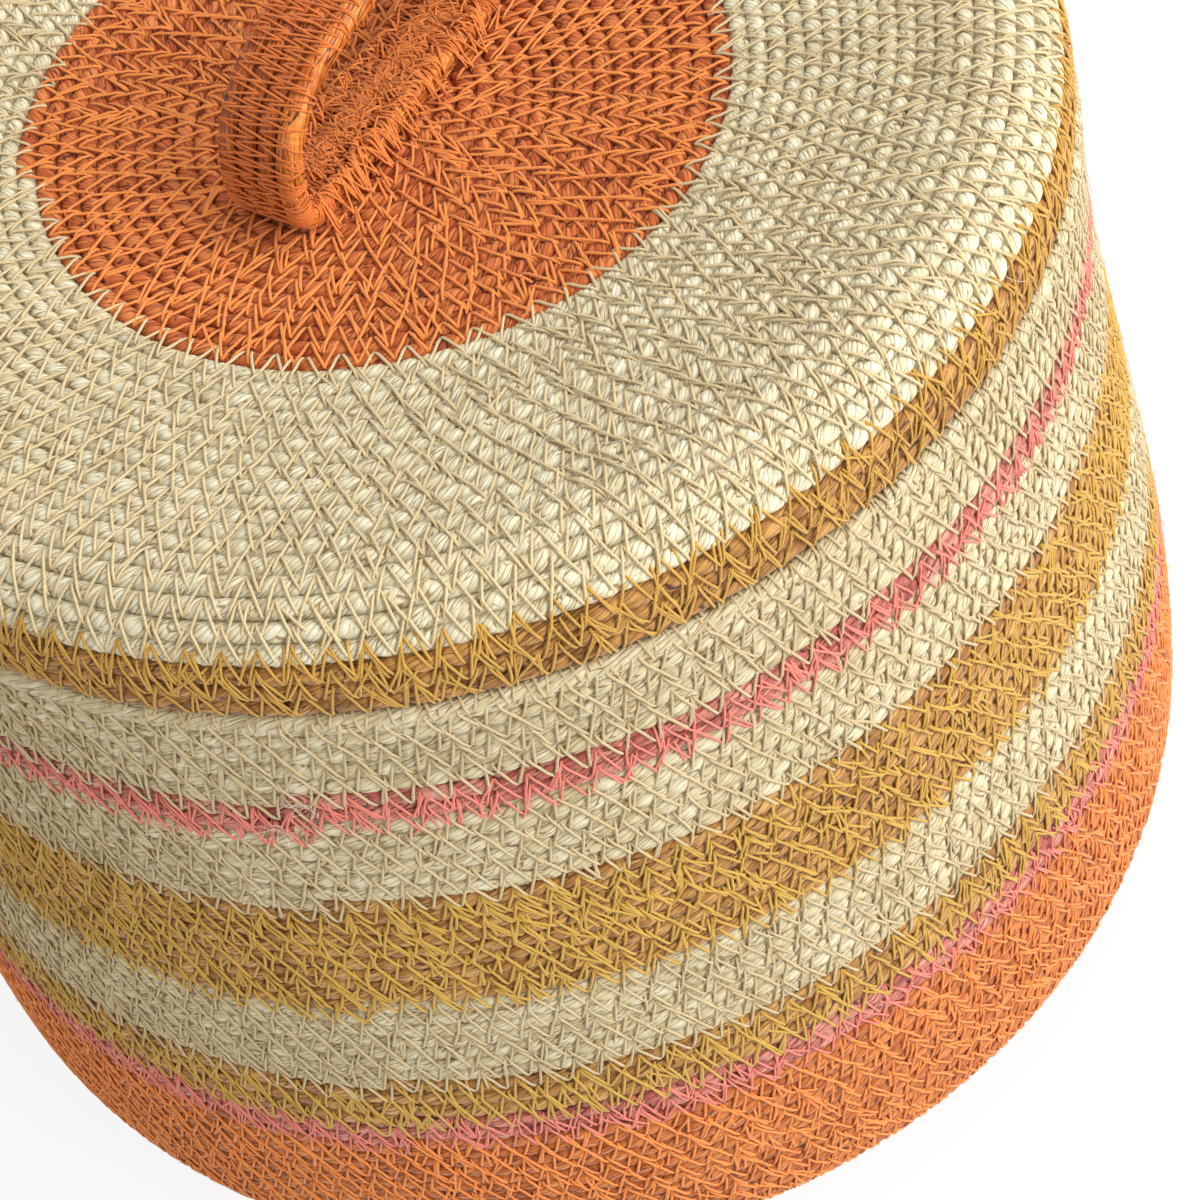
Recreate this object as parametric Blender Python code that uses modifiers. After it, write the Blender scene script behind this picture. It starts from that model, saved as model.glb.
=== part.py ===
"""Lidded basket of zig-zag-sewn seagrass cord, with a strap handle on its dished lid.

Metres, +Z up, origin at the middle of the underside. The cord is coiled from the middle of the base
outwards and up the wall in dyed lengths, one length for each stripe. Each length is a ring whose outside
has one rib for each row of cord. The handle strap runs along X over the middle of the lid.
"""

import math

import bmesh
import bpy
import numpy as np

# Cord and sewing
CORD_PITCH = 0.0040
CORD_THICKNESS = 0.0048
RIB_DEPTH = 0.0012
SEAM_GAP = 0.0003

# Lid outline, with heights above the lid's rim
LID_RADIUS = 0.1400
LID_SKIRT = 0.0072
LID_SHOULDER_RADIUS = 0.0168
LID_DISH_ANGLE = math.radians(9.0)
LID_CENTRE_HEIGHT = 0.0125
LID_DISC_RADIUS = 0.0730

# Body outline. The mouth is a little wider than the lid that rests on it.
RIM_HEIGHT = 0.2130
MOUTH_RADIUS = LID_RADIUS + 0.0012
BELLY_RADIUS = 0.1610
BELLY_HEIGHT = 0.0240
BASE_RADIUS = 0.1250
BASE_EDGE_POWER = 2.2

# Neck that the lid drops over
NECK_HEIGHT = 0.0092
NECK_CLEARANCE = 0.0015
LEDGE_ROUND = 0.0030
LEDGE_DROP = 0.0067
LID_SEAT_GAP = 0.0003

# Handle strap
HANDLE_LENGTH = 0.0760
HANDLE_HEIGHT = 0.0360
HANDLE_CORDS = 4
HANDLE_CORD_PITCH = 0.0046
HANDLE_ARCH_POWER = 2.4
HANDLE_FOOT_BEND = 0.0050
HANDLE_SEAT_GAP = 0.0003

# Facets
RING_STEPS = 28
PLAIN_ROWS_PER_POINT = 3
OUTLINE_STEP = 0.0005
ARCH_STEPS = 20
BEND_STEPS = 2
FOOT_STEPS = 3
LOBE_STEPS = 3
MERGE_DISTANCE = 0.00001

# Rows of cord in each stripe and the height of a row, from the ledge down: each length of cord has its
# own thickness. The last stripe takes the rest of the wall.
BODY_STRIPES = (
    ("upper_natural_band", 4, 0.00475, "natural"),
    ("upper_pink_band", 2, 0.00430, "pink"),
    ("middle_natural_band", 6, 0.00417, "natural"),
    ("wide_mustard_band", 9, 0.00372, "mustard"),
    ("lower_natural_band", 7, 0.00403, "natural"),
    ("narrow_mustard_band", 3, 0.00477, "mustard"),
    ("lower_pink_band", 2, 0.00440, "pink"),
    ("orange_wall", None, CORD_PITCH, "orange"),
)
LID_RIM_ROWS = 3
LID_RIM_PITCH = 0.0046

DYES = {
    "natural": (0.68, 0.60, 0.40, 1.0),
    "mustard": (0.52, 0.33, 0.06, 1.0),
    "pink": (0.66, 0.16, 0.13, 1.0),
    "orange": (0.70, 0.21, 0.04, 1.0),
}
CORD_ROUGHNESS = 0.85


def clear_scene():
    for obj in list(bpy.data.objects):
        bpy.data.objects.remove(obj)


def dye_material(dye):
    material = bpy.data.materials.get(dye) or bpy.data.materials.new(dye)
    material.use_nodes = True
    shader = material.node_tree.nodes["Principled BSDF"]
    shader.inputs["Base Color"].default_value = DYES[dye]
    shader.inputs["Roughness"].default_value = CORD_ROUGHNESS
    shader.inputs["Metallic"].default_value = 0.0
    return material


class Outline:
    """A wall's outer line in the (radius, height) plane, read by the distance along it."""

    def __init__(self, points):
        points = np.asarray(points, float)
        steps = np.linalg.norm(np.diff(points, axis=0), axis=1)
        keep = np.append(True, steps > 1e-9)
        self.points = points[keep]
        steps = np.linalg.norm(np.diff(self.points, axis=0), axis=1)
        self.along = np.append(0.0, np.cumsum(steps))
        self.length = self.along[-1]

    def at(self, distance, depth=0.0):
        """The point this far along the line, moved this deep into the wall, on the line's left."""
        distance = min(max(distance, 0.0), self.length)
        reach = OUTLINE_STEP
        low, high = max(distance - reach, 0.0), min(distance + reach, self.length)
        ahead = self._on_line(high) - self._on_line(low)
        ahead /= np.linalg.norm(ahead)
        inward = np.array((ahead[1], -ahead[0]))
        return self._on_line(distance) + depth * inward

    def _on_line(self, distance):
        return np.array([np.interp(distance, self.along, self.points[:, i]) for i in (0, 1)])


def arc(centre, radius, start, end):
    count = max(4, round(abs(end - start) * radius / OUTLINE_STEP))
    angles = np.linspace(start, end, count)
    return [(centre[0] + radius * math.cos(a), centre[1] + radius * math.sin(a)) for a in angles]


def wall_radius(height):
    """The wall leaves the mouth upright, flares, and is upright again at the belly."""
    share = (RIM_HEIGHT - height) / (RIM_HEIGHT - BELLY_HEIGHT)
    return MOUTH_RADIUS + (BELLY_RADIUS - MOUTH_RADIUS) * share * share * (3 - 2 * share)


def neck_line():
    """Down the neck, out over the ledge and round to the wall, as far as the ledge's last row reaches."""
    ledge = RIM_HEIGHT - LID_SEAT_GAP
    upright = [(neck_radius(), RIM_HEIGHT + NECK_HEIGHT), (neck_radius(), ledge)]
    round_centre = (MOUTH_RADIUS - LEDGE_ROUND, ledge - LEDGE_ROUND)
    edge = arc(round_centre, LEDGE_ROUND, math.pi / 2, 0.0)
    return upright + edge + [(MOUTH_RADIUS, ledge - LEDGE_DROP)]


def body_outline():
    """From the top of the neck over the ledge, down the wall and round to the base's edge."""
    points = neck_line()
    for height in np.arange(points[-1][1], BELLY_HEIGHT, -OUTLINE_STEP)[1:]:
        points.append((wall_radius(height), height))
    edge_width = BELLY_RADIUS - BASE_RADIUS
    for angle in np.linspace(0.0, math.pi / 2, round(edge_width / OUTLINE_STEP)):
        out = math.cos(angle) ** (2 / BASE_EDGE_POWER)
        down = math.sin(angle) ** (2 / BASE_EDGE_POWER)
        points.append((BASE_RADIUS + edge_width * out, BELLY_HEIGHT * (1 - down)))
    return Outline(points)


def lid_inside_radius(height):
    """The lid's inner radius at a height above its rim."""
    over = max(height - LID_SKIRT, 0.0)
    round_inside = LID_SHOULDER_RADIUS - CORD_THICKNESS
    centre = LID_RADIUS - LID_SHOULDER_RADIUS
    return centre + math.sqrt(round_inside**2 - over**2)


def neck_radius():
    return lid_inside_radius(NECK_HEIGHT) - NECK_CLEARANCE


def lid_shoulder():
    """The arc from the dished top's edge over the crest to the top of the skirt."""
    centre = (LID_RADIUS - LID_SHOULDER_RADIUS, LID_SKIRT)
    return arc(centre, LID_SHOULDER_RADIUS, math.pi / 2 + LID_DISH_ANGLE, 0.0)


def dish_height(radius):
    """The middle of the lid's top, above the rim: a shallow bowl that meets the sloping crown."""
    crown_radius, crown_height = lid_shoulder()[0]
    edge = crown_height - (crown_radius - LID_DISC_RADIUS) * math.tan(LID_DISH_ANGLE)
    return LID_CENTRE_HEIGHT + (edge - LID_CENTRE_HEIGHT) * (radius / LID_DISC_RADIUS) ** 2


def lid_outline():
    """From the middle of the dished top out over the shoulder and down the skirt."""
    radii = np.append(np.arange(0.0, LID_DISC_RADIUS, OUTLINE_STEP), LID_DISC_RADIUS)
    dish = [(radius, dish_height(radius)) for radius in radii]
    return Outline(dish + lid_shoulder() + [(LID_RADIUS, 0.0)]), Outline(dish).length


def ribbed_side(outline, start, end, rows):
    """One rib for each row: a seam on each side of its crest."""
    pitch = (end - start) / rows
    points = []
    for row in range(rows):
        points.append(outline.at(start + row * pitch, RIB_DEPTH))
        points.append(outline.at(start + (row + 0.5) * pitch))
    points.append(outline.at(end, RIB_DEPTH))
    return points


def plain_side(outline, start, end, rows):
    """The inside, with a point every few rows."""
    count = max(1, math.ceil(rows / PLAIN_ROWS_PER_POINT))
    return [outline.at(distance, CORD_THICKNESS) for distance in np.linspace(start, end, count + 1)]


def turned(name, profile, dye, parent, closed=True):
    """Turns a profile round Z. Its outer side runs first, from the top down."""
    mesh = bpy.data.meshes.new(name)
    shape = bmesh.new()
    corners = [shape.verts.new((radius, 0.0, height)) for radius, height in profile]
    pairs = list(zip(corners, corners[1:]))
    if closed:
        pairs.append((corners[-1], corners[0]))
    for pair in pairs:
        shape.edges.new(pair)
    shape.to_mesh(mesh)
    shape.free()
    ring = bpy.data.objects.new(name, mesh)
    ring.parent = parent
    ring.data.materials.append(dye_material(dye))
    screw = ring.modifiers.new("turn", "SCREW")
    screw.axis = "Z"
    screw.angle = 2 * math.pi
    screw.steps = RING_STEPS
    screw.render_steps = RING_STEPS
    screw.use_merge_vertices = True
    screw.merge_threshold = MERGE_DISTANCE
    screw.use_smooth_shade = True
    return ring


def ring_profile(outline, start, end, rows):
    """A ring's section between two distances along the wall, short of each by half a seam gap."""
    start += SEAM_GAP / 2
    end -= SEAM_GAP / 2
    outside = ribbed_side(outline, start, end, rows)
    return outside + plain_side(outline, start, end, rows)[::-1]


def body_rings(collection, parent):
    outline = body_outline()
    start = Outline(neck_line()).length
    collection.objects.link(neck_ring(outline, start, parent))
    for name, rows, pitch, dye in BODY_STRIPES:
        end = start + rows * pitch if rows else outline.length
        rows = rows or round((end - start) / pitch)
        profile = ring_profile(outline, start, end, rows)
        collection.objects.link(turned(name, profile, dye, parent))
        start = end
    base_edge = outline.points[-1][0] - SEAM_GAP / 2
    base = [(0.0, CORD_THICKNESS), (base_edge, CORD_THICKNESS), (base_edge, 0.0), (0.0, 0.0)]
    collection.objects.link(turned("base_disc", base, "orange", parent, closed=False))


def neck_ring(outline, end, parent):
    """The drawn-in mouth: upright rows, then the ledge that carries the lid's rim."""
    end -= SEAM_GAP / 2
    outside = ribbed_side(outline, 0.0, end, round(end / CORD_PITCH))
    neck_inside = neck_radius() - CORD_THICKNESS
    low_inside = outline.at(end, CORD_THICKNESS)
    inside = [low_inside, (neck_inside, low_inside[1]), (neck_inside, RIM_HEIGHT + NECK_HEIGHT)]
    return turned("neck_ring", outside + inside, "natural", parent)


def lid_rings(collection, parent):
    outline, disc_end = lid_outline()
    rim_start = outline.length - LID_RIM_ROWS * LID_RIM_PITCH
    disc_rows = round(disc_end / CORD_PITCH)
    crown_rows = round((rim_start - disc_end) / CORD_PITCH)
    disc_edge = disc_end - SEAM_GAP / 2
    disc = ribbed_side(outline, 0.0, disc_edge, disc_rows)
    disc[0] = (0.0, outline.at(0.0)[1] - RIB_DEPTH)
    disc += plain_side(outline, 0.0, disc_edge, disc_rows)[::-1]
    disc[-1] = (0.0, outline.at(0.0)[1] - CORD_THICKNESS)
    crown = ring_profile(outline, disc_end, rim_start, crown_rows)
    rim = ring_profile(outline, rim_start, outline.length + SEAM_GAP / 2, LID_RIM_ROWS)
    collection.objects.link(turned("lid_centre_disc", disc, "orange", parent, closed=False))
    collection.objects.link(turned("lid_crown", crown, "natural", parent))
    collection.objects.link(turned("lid_rim_band", rim, "mustard", parent))


def strap_section():
    """The strap's section: round cords side by side, drawn flat together where they are sewn."""
    cord_radius = CORD_THICKNESS / 2
    seam = math.asin((cord_radius - RIB_DEPTH) / cord_radius)
    top = []
    for cord in range(HANDLE_CORDS):
        middle = (cord + 0.5 - HANDLE_CORDS / 2) * HANDLE_CORD_PITCH
        start = math.pi if cord == 0 else math.pi - seam
        end = 0.0 if cord == HANDLE_CORDS - 1 else seam
        for angle in np.linspace(start, end, LOBE_STEPS + 1):
            top.append((middle + cord_radius * math.cos(angle), cord_radius * math.sin(angle)))
    bottom = [(-across, -up) for across, up in top[1:-1]]
    return top + bottom


def strap_route():
    """A closed D in the XZ plane, from the lid's middle: the arch, two tight bends and the sewn foot."""
    half = HANDLE_LENGTH / 2 - CORD_THICKNESS / 2
    bend = HANDLE_FOOT_BEND

    def foot_height(across):
        return dish_height(across) - LID_CENTRE_HEIGHT + HANDLE_SEAT_GAP + CORD_THICKNESS / 2

    leg_start = foot_height(half - bend) + bend
    rise = HANDLE_HEIGHT - CORD_THICKNESS / 2 - leg_start
    route = []
    for angle in np.linspace(0.0, math.pi, ARCH_STEPS + 1):
        out = math.copysign(abs(math.cos(angle)) ** (2 / HANDLE_ARCH_POWER), math.cos(angle))
        up = math.sin(angle) ** (2 / HANDLE_ARCH_POWER)
        route.append((half * out, leg_start + rise * up))
    turns = [math.pi / 2 * (step + 0.5) / BEND_STEPS for step in range(BEND_STEPS)]
    corner = [(half - bend * (1 - math.cos(t)), leg_start - bend * math.sin(t)) for t in turns]
    foot = [(across, foot_height(across)) for across in np.linspace(bend - half, half - bend, FOOT_STEPS + 1)]
    return route + [(-x, z) for x, z in corner] + foot + corner[::-1]


def handle_strap(collection, parent):
    section_line = bpy.data.curves.new("strap_section", "CURVE")
    section_line.dimensions = "2D"
    add_closed_spline(section_line, [(x, y, 0.0) for x, y in strap_section()])
    section = bpy.data.objects.new("strap_section", section_line)
    section.hide_render = True
    section.display_type = "WIRE"
    route = bpy.data.curves.new("handle_strap", "CURVE")
    route.dimensions = "3D"
    route.twist_mode = "Z_UP"
    route.bevel_mode = "OBJECT"
    route.bevel_object = section
    add_closed_spline(route, [(x, 0.0, z) for x, z in strap_route()])
    strap = bpy.data.objects.new("handle_strap", route)
    strap.parent = parent
    strap.data.materials.append(dye_material("orange"))
    collection.objects.link(strap)
    return section


def add_closed_spline(curve, points):
    spline = curve.splines.new("POLY")
    spline.points.add(len(points) - 1)
    for point, place in zip(spline.points, points):
        point.co = (*place, 1.0)
    spline.use_cyclic_u = True
    spline.use_smooth = True


def empty(name, height, collection, parent=None):
    holder = bpy.data.objects.new(name, None)
    holder.location = (0.0, 0.0, height)
    holder.parent = parent
    collection.objects.link(holder)
    return holder


def main():
    clear_scene()
    basket_box = bpy.data.collections.new("basket_box")
    helpers = bpy.data.collections.new("helpers")
    bpy.context.scene.collection.children.link(basket_box)
    bpy.context.scene.collection.children.link(helpers)
    basket = empty("basket", 0.0, basket_box)
    lid = empty("lid", RIM_HEIGHT, basket_box, basket)
    handle = empty("handle", LID_CENTRE_HEIGHT, basket_box, lid)
    body_rings(basket_box, basket)
    lid_rings(basket_box, lid)
    helpers.objects.link(handle_strap(basket_box, handle))


main()
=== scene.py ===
"""Looks of a lidded basket: dyed seagrass cord coiled round and round, and sewn row to row with a zig-zag.

Metres, +Z up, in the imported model's own frame. One coil runs from the top of the neck down the wall to the
middle of the base, and one from the middle of the lid out to its rim. Every row is a round cord that the
stitches press in, and every seam is a real thread that lies over the two rows it joins.
"""

import logging
import math
from dataclasses import dataclass, field
from enum import Enum

import bpy
import numpy as np
from mathutils import Matrix, Vector

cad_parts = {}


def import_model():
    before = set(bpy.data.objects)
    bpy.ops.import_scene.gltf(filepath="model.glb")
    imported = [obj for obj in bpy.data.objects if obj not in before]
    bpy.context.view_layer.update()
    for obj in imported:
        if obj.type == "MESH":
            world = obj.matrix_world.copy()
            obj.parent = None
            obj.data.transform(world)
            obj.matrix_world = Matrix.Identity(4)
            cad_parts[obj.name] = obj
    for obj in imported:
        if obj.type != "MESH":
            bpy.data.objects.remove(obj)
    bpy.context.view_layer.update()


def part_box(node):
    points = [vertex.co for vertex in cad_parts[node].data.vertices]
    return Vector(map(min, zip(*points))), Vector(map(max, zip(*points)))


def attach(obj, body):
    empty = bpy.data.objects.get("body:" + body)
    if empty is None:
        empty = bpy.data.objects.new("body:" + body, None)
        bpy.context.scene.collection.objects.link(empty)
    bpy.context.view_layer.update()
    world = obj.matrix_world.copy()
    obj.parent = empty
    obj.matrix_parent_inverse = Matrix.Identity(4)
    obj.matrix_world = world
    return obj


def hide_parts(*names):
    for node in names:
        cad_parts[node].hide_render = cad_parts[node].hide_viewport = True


LOG = logging.getLogger("basket")
CORD_MAP = "CordUV"
BAKE_MAP = "OFBake"
MOST_TRIANGLES = 190_000
FULL_TURN = 2 * math.pi

# Driving values of the part, which the record doesn't hold
CORD_PITCH = 0.0040
CORD_THICKNESS = 0.0048
LID_SKIRT = 0.0072
LID_SHOULDER_RADIUS = 0.0168
LID_DISH_ANGLE = math.radians(9.0)
LID_CENTRE_HEIGHT = 0.0125
LID_DISC_RADIUS = 0.0730
LID_RIM_ROWS = 3
LID_RIM_PITCH = 0.0046
MOUTH_MARGIN = 0.0012
BELLY_HEIGHT = 0.0240
BASE_RADIUS = 0.1250
BASE_EDGE_POWER = 2.2
NECK_CLEARANCE = 0.0015
LEDGE_DROP = 0.0067
LID_SEAT_GAP = 0.0003
HANDLE_CORDS = 4
HANDLE_CORD_PITCH = 0.0046
HANDLE_ARCH_POWER = 2.4
HANDLE_FOOT_BEND = 0.0050
HANDLE_SEAT_GAP = 0.0003
OUTLINE_STEP = 0.0005


class Dye(Enum):
    """The dyes of the cord, which are the part's material slots too."""

    NATURAL = "natural"
    MUSTARD = "mustard"
    PINK = "pink"
    ORANGE = "orange"


class Face(Enum):
    """The side of a wall that a seam's thread lies on."""

    OUTSIDE = 1
    INSIDE = -1


def linear(hex_colour: str, alpha: float = 1.0) -> tuple[float, float, float, float]:
    """An sRGB hex colour as linear values.

    Args:
        hex_colour: six hex digits, with or without a hash sign.
        alpha: the fourth value.

    Returns:
        Red, green, blue and alpha.
    """
    digits = hex_colour.lstrip("#")
    parts = [int(digits[i : i + 2], 16) / 255 for i in (0, 2, 4)]
    red, green, blue = (p / 12.92 if p <= 0.04045 else ((p + 0.055) / 1.055) ** 2.4 for p in parts)
    return (red, green, blue, alpha)


def add_node(tree: bpy.types.NodeTree, kind: str, inputs: dict | None = None, **settings) -> bpy.types.Node:
    """Adds a shader node with its settings, its values and its links.

    Args:
        tree: the material's or the world's node tree.
        kind: the node's type, without the ShaderNode that each one begins with.
        inputs: a value or another node's output for each input, by the input's name or number.
        settings: the node's own properties. "stops" gives a colour ramp's (position, colour) pairs.

    Returns:
        The node.
    """
    node = tree.nodes.new("ShaderNode" + kind)
    stops = settings.pop("stops", None)
    for key, value in settings.items():
        setattr(node, key, value)
    if stops:
        elements = node.color_ramp.elements
        while len(elements) < len(stops):
            elements.new(0.5)
        for element, (position, colour) in zip(elements, stops):
            element.position = position
            element.color = colour
    for key, value in (inputs or {}).items():
        if isinstance(value, bpy.types.NodeSocket):
            tree.links.new(value, node.inputs[key])
        else:
            node.inputs[key].default_value = value
    return node


def smooth_step(share: np.ndarray) -> np.ndarray:
    """A share held between 0 and 1 and eased at both ends."""
    share = np.clip(share, 0.0, 1.0)
    return share * share * (3 - 2 * share)


def wander(rng: np.random.Generator, count: int, spacing: float, reach: float) -> np.ndarray:
    """Smooth random values.

    Args:
        rng: the source of numbers.
        count: how many values.
        spacing: the number of values between two independent ones.
        reach: the standard deviation.

    Returns:
        An array of the values.
    """
    knots = rng.normal(0.0, reach, int(count / spacing) + 5)
    place = np.arange(count) / spacing + 1
    low = place.astype(int)
    share = smooth_step(place - low)
    return knots[low] * (1 - share) + knots[low + 1] * share


def run_along(points: np.ndarray) -> np.ndarray:
    """The distance along a line at each of its points."""
    return np.append(0.0, np.cumsum(np.linalg.norm(np.diff(points, axis=0), axis=1)))


def dice(seed: int, first: float, *more: int) -> np.random.Generator:
    """The random numbers of one length of a coil, the same in each run.

    Args:
        seed: the coil's own number.
        first: the turn where the length begins.
        more: a number for each further use.

    Returns:
        The source of numbers.
    """
    return np.random.default_rng([seed, round(first * 10) + 20, *more])


def squarish(share: np.ndarray, power: float) -> np.ndarray:
    """A sine or cosine, bent so that a ring drawn with it is rounder at power 2 and squarer above."""
    return np.sign(share) * np.abs(share) ** (2 / power)


def seen_directly(tree: bpy.types.NodeTree) -> bpy.types.NodeSocket:
    """One for a ray that comes from the camera or off a glossy surface, and nought for the others."""
    path = add_node(tree, "LightPath")
    rays = {0: path.outputs["Is Camera Ray"], 1: path.outputs["Is Glossy Ray"]}
    return add_node(tree, "Math", rays, operation="MAXIMUM").outputs[0]


@dataclass(frozen=True)
class Finish:
    """A fibre finish, drawn along and around the cord or thread that it covers. Each kind adds its gloss.

    Attributes:
        name: the material's name.
    """

    name: str

    def surface(
        self, tree: bpy.types.NodeTree, cord_map: bpy.types.NodeSocket
    ) -> tuple[bpy.types.NodeSocket, bpy.types.NodeSocket]:
        """Draws the colour and the height.

        Args:
            tree: the material's node tree.
            cord_map: the place along and around the cord, in metres.

        Returns:
            The colour and the height.
        """
        raise NotImplementedError

    def material(self) -> bpy.types.Material:
        """Builds the material, unless it is there already.

        Returns:
            The finished material, named for the finish.
        """
        found = bpy.data.materials.get(self.name)
        if found:
            return found
        material = bpy.data.materials.new(self.name)
        material.use_nodes = True
        tree = material.node_tree
        shader = tree.nodes["Principled BSDF"]
        colour, height = self.surface(tree, add_node(tree, "UVMap", uv_map=CORD_MAP).outputs["UV"])
        relief = {"Height": height, "Distance": self.relief, "Strength": self.relief_share}
        bump = add_node(tree, "Bump", relief)
        tree.links.new(colour, shader.inputs["Base Color"])
        tree.links.new(bump.outputs["Normal"], shader.inputs["Normal"])
        shader.inputs["Roughness"].default_value = self.roughness
        shader.inputs["Specular IOR Level"].default_value = self.specular
        shader.inputs["Sheen Weight"].default_value = self.sheen
        return material


@dataclass(frozen=True)
class SeagrassCord(Finish):
    """Dried seagrass, dyed and laid up loosely into a cord: flat shiny blades with dark gaps between.

    The blades give the eye a satin sheen along each one, a slightly different shade for each blade, and
    fine fibre lines. Dye takes unevenly, so a blade runs from pale to deep.

    Attributes:
        pale: where the dye took least.
        middle: the blades' usual colour.
        deep: where it took most.
        gap: what shows between two blades.
        lay: the angle between the blades and the cord, in degrees.
        blade_width: how wide a blade is.
        blade_length: how long.
        relief: the height of the blades and fibres, in metres.
    """

    pale: str
    middle: str
    deep: str
    gap: str
    lay: float = 24.0
    blade_width: float = 0.0011
    blade_length: float = 0.0100
    roughness: float = 0.58
    specular: float = 0.22
    sheen: float = 0.12
    relief: float = 0.00013
    relief_share: float = 1.0

    def surface(
        self, tree: bpy.types.NodeTree, cord_map: bpy.types.NodeSocket
    ) -> tuple[bpy.types.NodeSocket, bpy.types.NodeSocket]:
        """Draws the blades, the gaps between them and their fibre lines.

        Args:
            tree: the material's node tree.
            cord_map: the place along and around the cord, in metres.

        Returns:
            The colour and the height.
        """
        # Blades waver by about a third of a millimetre over 5 mm.
        waver = add_node(tree, "TexNoise", {"Vector": cord_map, "Scale": 200.0, "Detail": 1.0})
        shift = {0: waver.outputs["Color"], 1: (0.0012,) * 3, 2: cord_map}
        shifted = add_node(tree, "VectorMath", shift, operation="MULTIPLY_ADD")
        lay = {"Vector": shifted.outputs[0], "Rotation": (0.0, 0.0, -math.radians(self.lay))}
        turned = add_node(tree, "Mapping", lay).outputs[0]
        blade_scale = (1 / self.blade_length, 1 / self.blade_width, 1.0)
        stretched = add_node(tree, "VectorMath", {0: turned, 1: blade_scale}, operation="MULTIPLY")
        cells = {"Vector": stretched.outputs[0], "Scale": 1.0}
        blades = add_node(tree, "TexVoronoi", cells, voronoi_dimensions="2D")
        edges = add_node(tree, "TexVoronoi", cells, voronoi_dimensions="2D", feature="DISTANCE_TO_EDGE")
        # Fibre lines about 0.5 mm apart, drawn coarser than real ones so that they show.
        fibre_scale = (1 / 0.007, 1 / 0.00048, 1.0)
        fine = add_node(tree, "VectorMath", {0: turned, 1: fibre_scale}, operation="MULTIPLY")
        fibres = add_node(tree, "TexNoise", {"Vector": fine.outputs[0], "Scale": 1.0, "Detail": 2.0})
        shade = add_node(tree, "SeparateColor", {"Color": blades.outputs["Color"]})
        tint = add_node(tree, "Attribute", attribute_name="tint")
        press_and_shade = add_node(tree, "Attribute", attribute_name="press_and_shade")
        # The blade's own shade, its fibres and its patch between two stitches add up to how pale it is.
        mixed = add_node(tree, "Math", {0: shade.outputs[0], 1: 0.36, 2: -0.16}, operation="MULTIPLY_ADD")
        for part, weight in ((fibres, 0.90), (tint, 0.24)):
            terms = {0: part.outputs["Fac"], 1: weight, 2: mixed.outputs[0]}
            mixed = add_node(tree, "Math", terms, operation="MULTIPLY_ADD")
        stops = [(0.16, linear(self.deep)), (0.46, linear(self.middle)), (0.82, linear(self.pale))]
        colours = add_node(tree, "ValToRGB", {"Fac": mixed.outputs[0]}, stops=stops)
        # A gap between two blades opens and closes along its length.
        patches = add_node(tree, "TexNoise", {"Vector": cord_map, "Scale": 260.0, "Detail": 1.0})
        from_patch = {"Value": patches.outputs["Fac"], "From Min": 0.38, "From Max": 0.68}
        gap_width = add_node(tree, "MapRange", from_patch | {"To Min": 0.02, "To Max": 0.15})
        covered, pillow = (
            add_node(
                tree,
                "MapRange",
                {"Value": edges.outputs["Distance"], "From Min": 0.0, "From Max": width},
                interpolation_type="SMOOTHSTEP",
            )
            for width in (gap_width.outputs["Result"], 0.30)
        )
        # Painted shade: where a stitch presses the cord in and in the groove where it meets the next row, its
        # colour is drawn partly toward the gap colour.
        kept = add_node(tree, "Math", {0: press_and_shade.outputs["Fac"], 1: -0.32, 2: 1.0}, operation="MULTIPLY_ADD")
        shown = {0: covered.outputs["Result"], 1: kept.outputs[0]}
        lit = add_node(tree, "Math", shown, operation="MULTIPLY")
        over_gap = {0: lit.outputs[0], 6: linear(self.gap), 7: colours.outputs["Color"]}
        colour = add_node(tree, "Mix", over_gap, data_type="RGBA")
        heights = {0: fibres.outputs["Fac"], 1: 0.8, 2: pillow.outputs["Result"]}
        height = add_node(tree, "Math", heights, operation="MULTIPLY_ADD")
        return colour.outputs[2], height.outputs[0]


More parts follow.
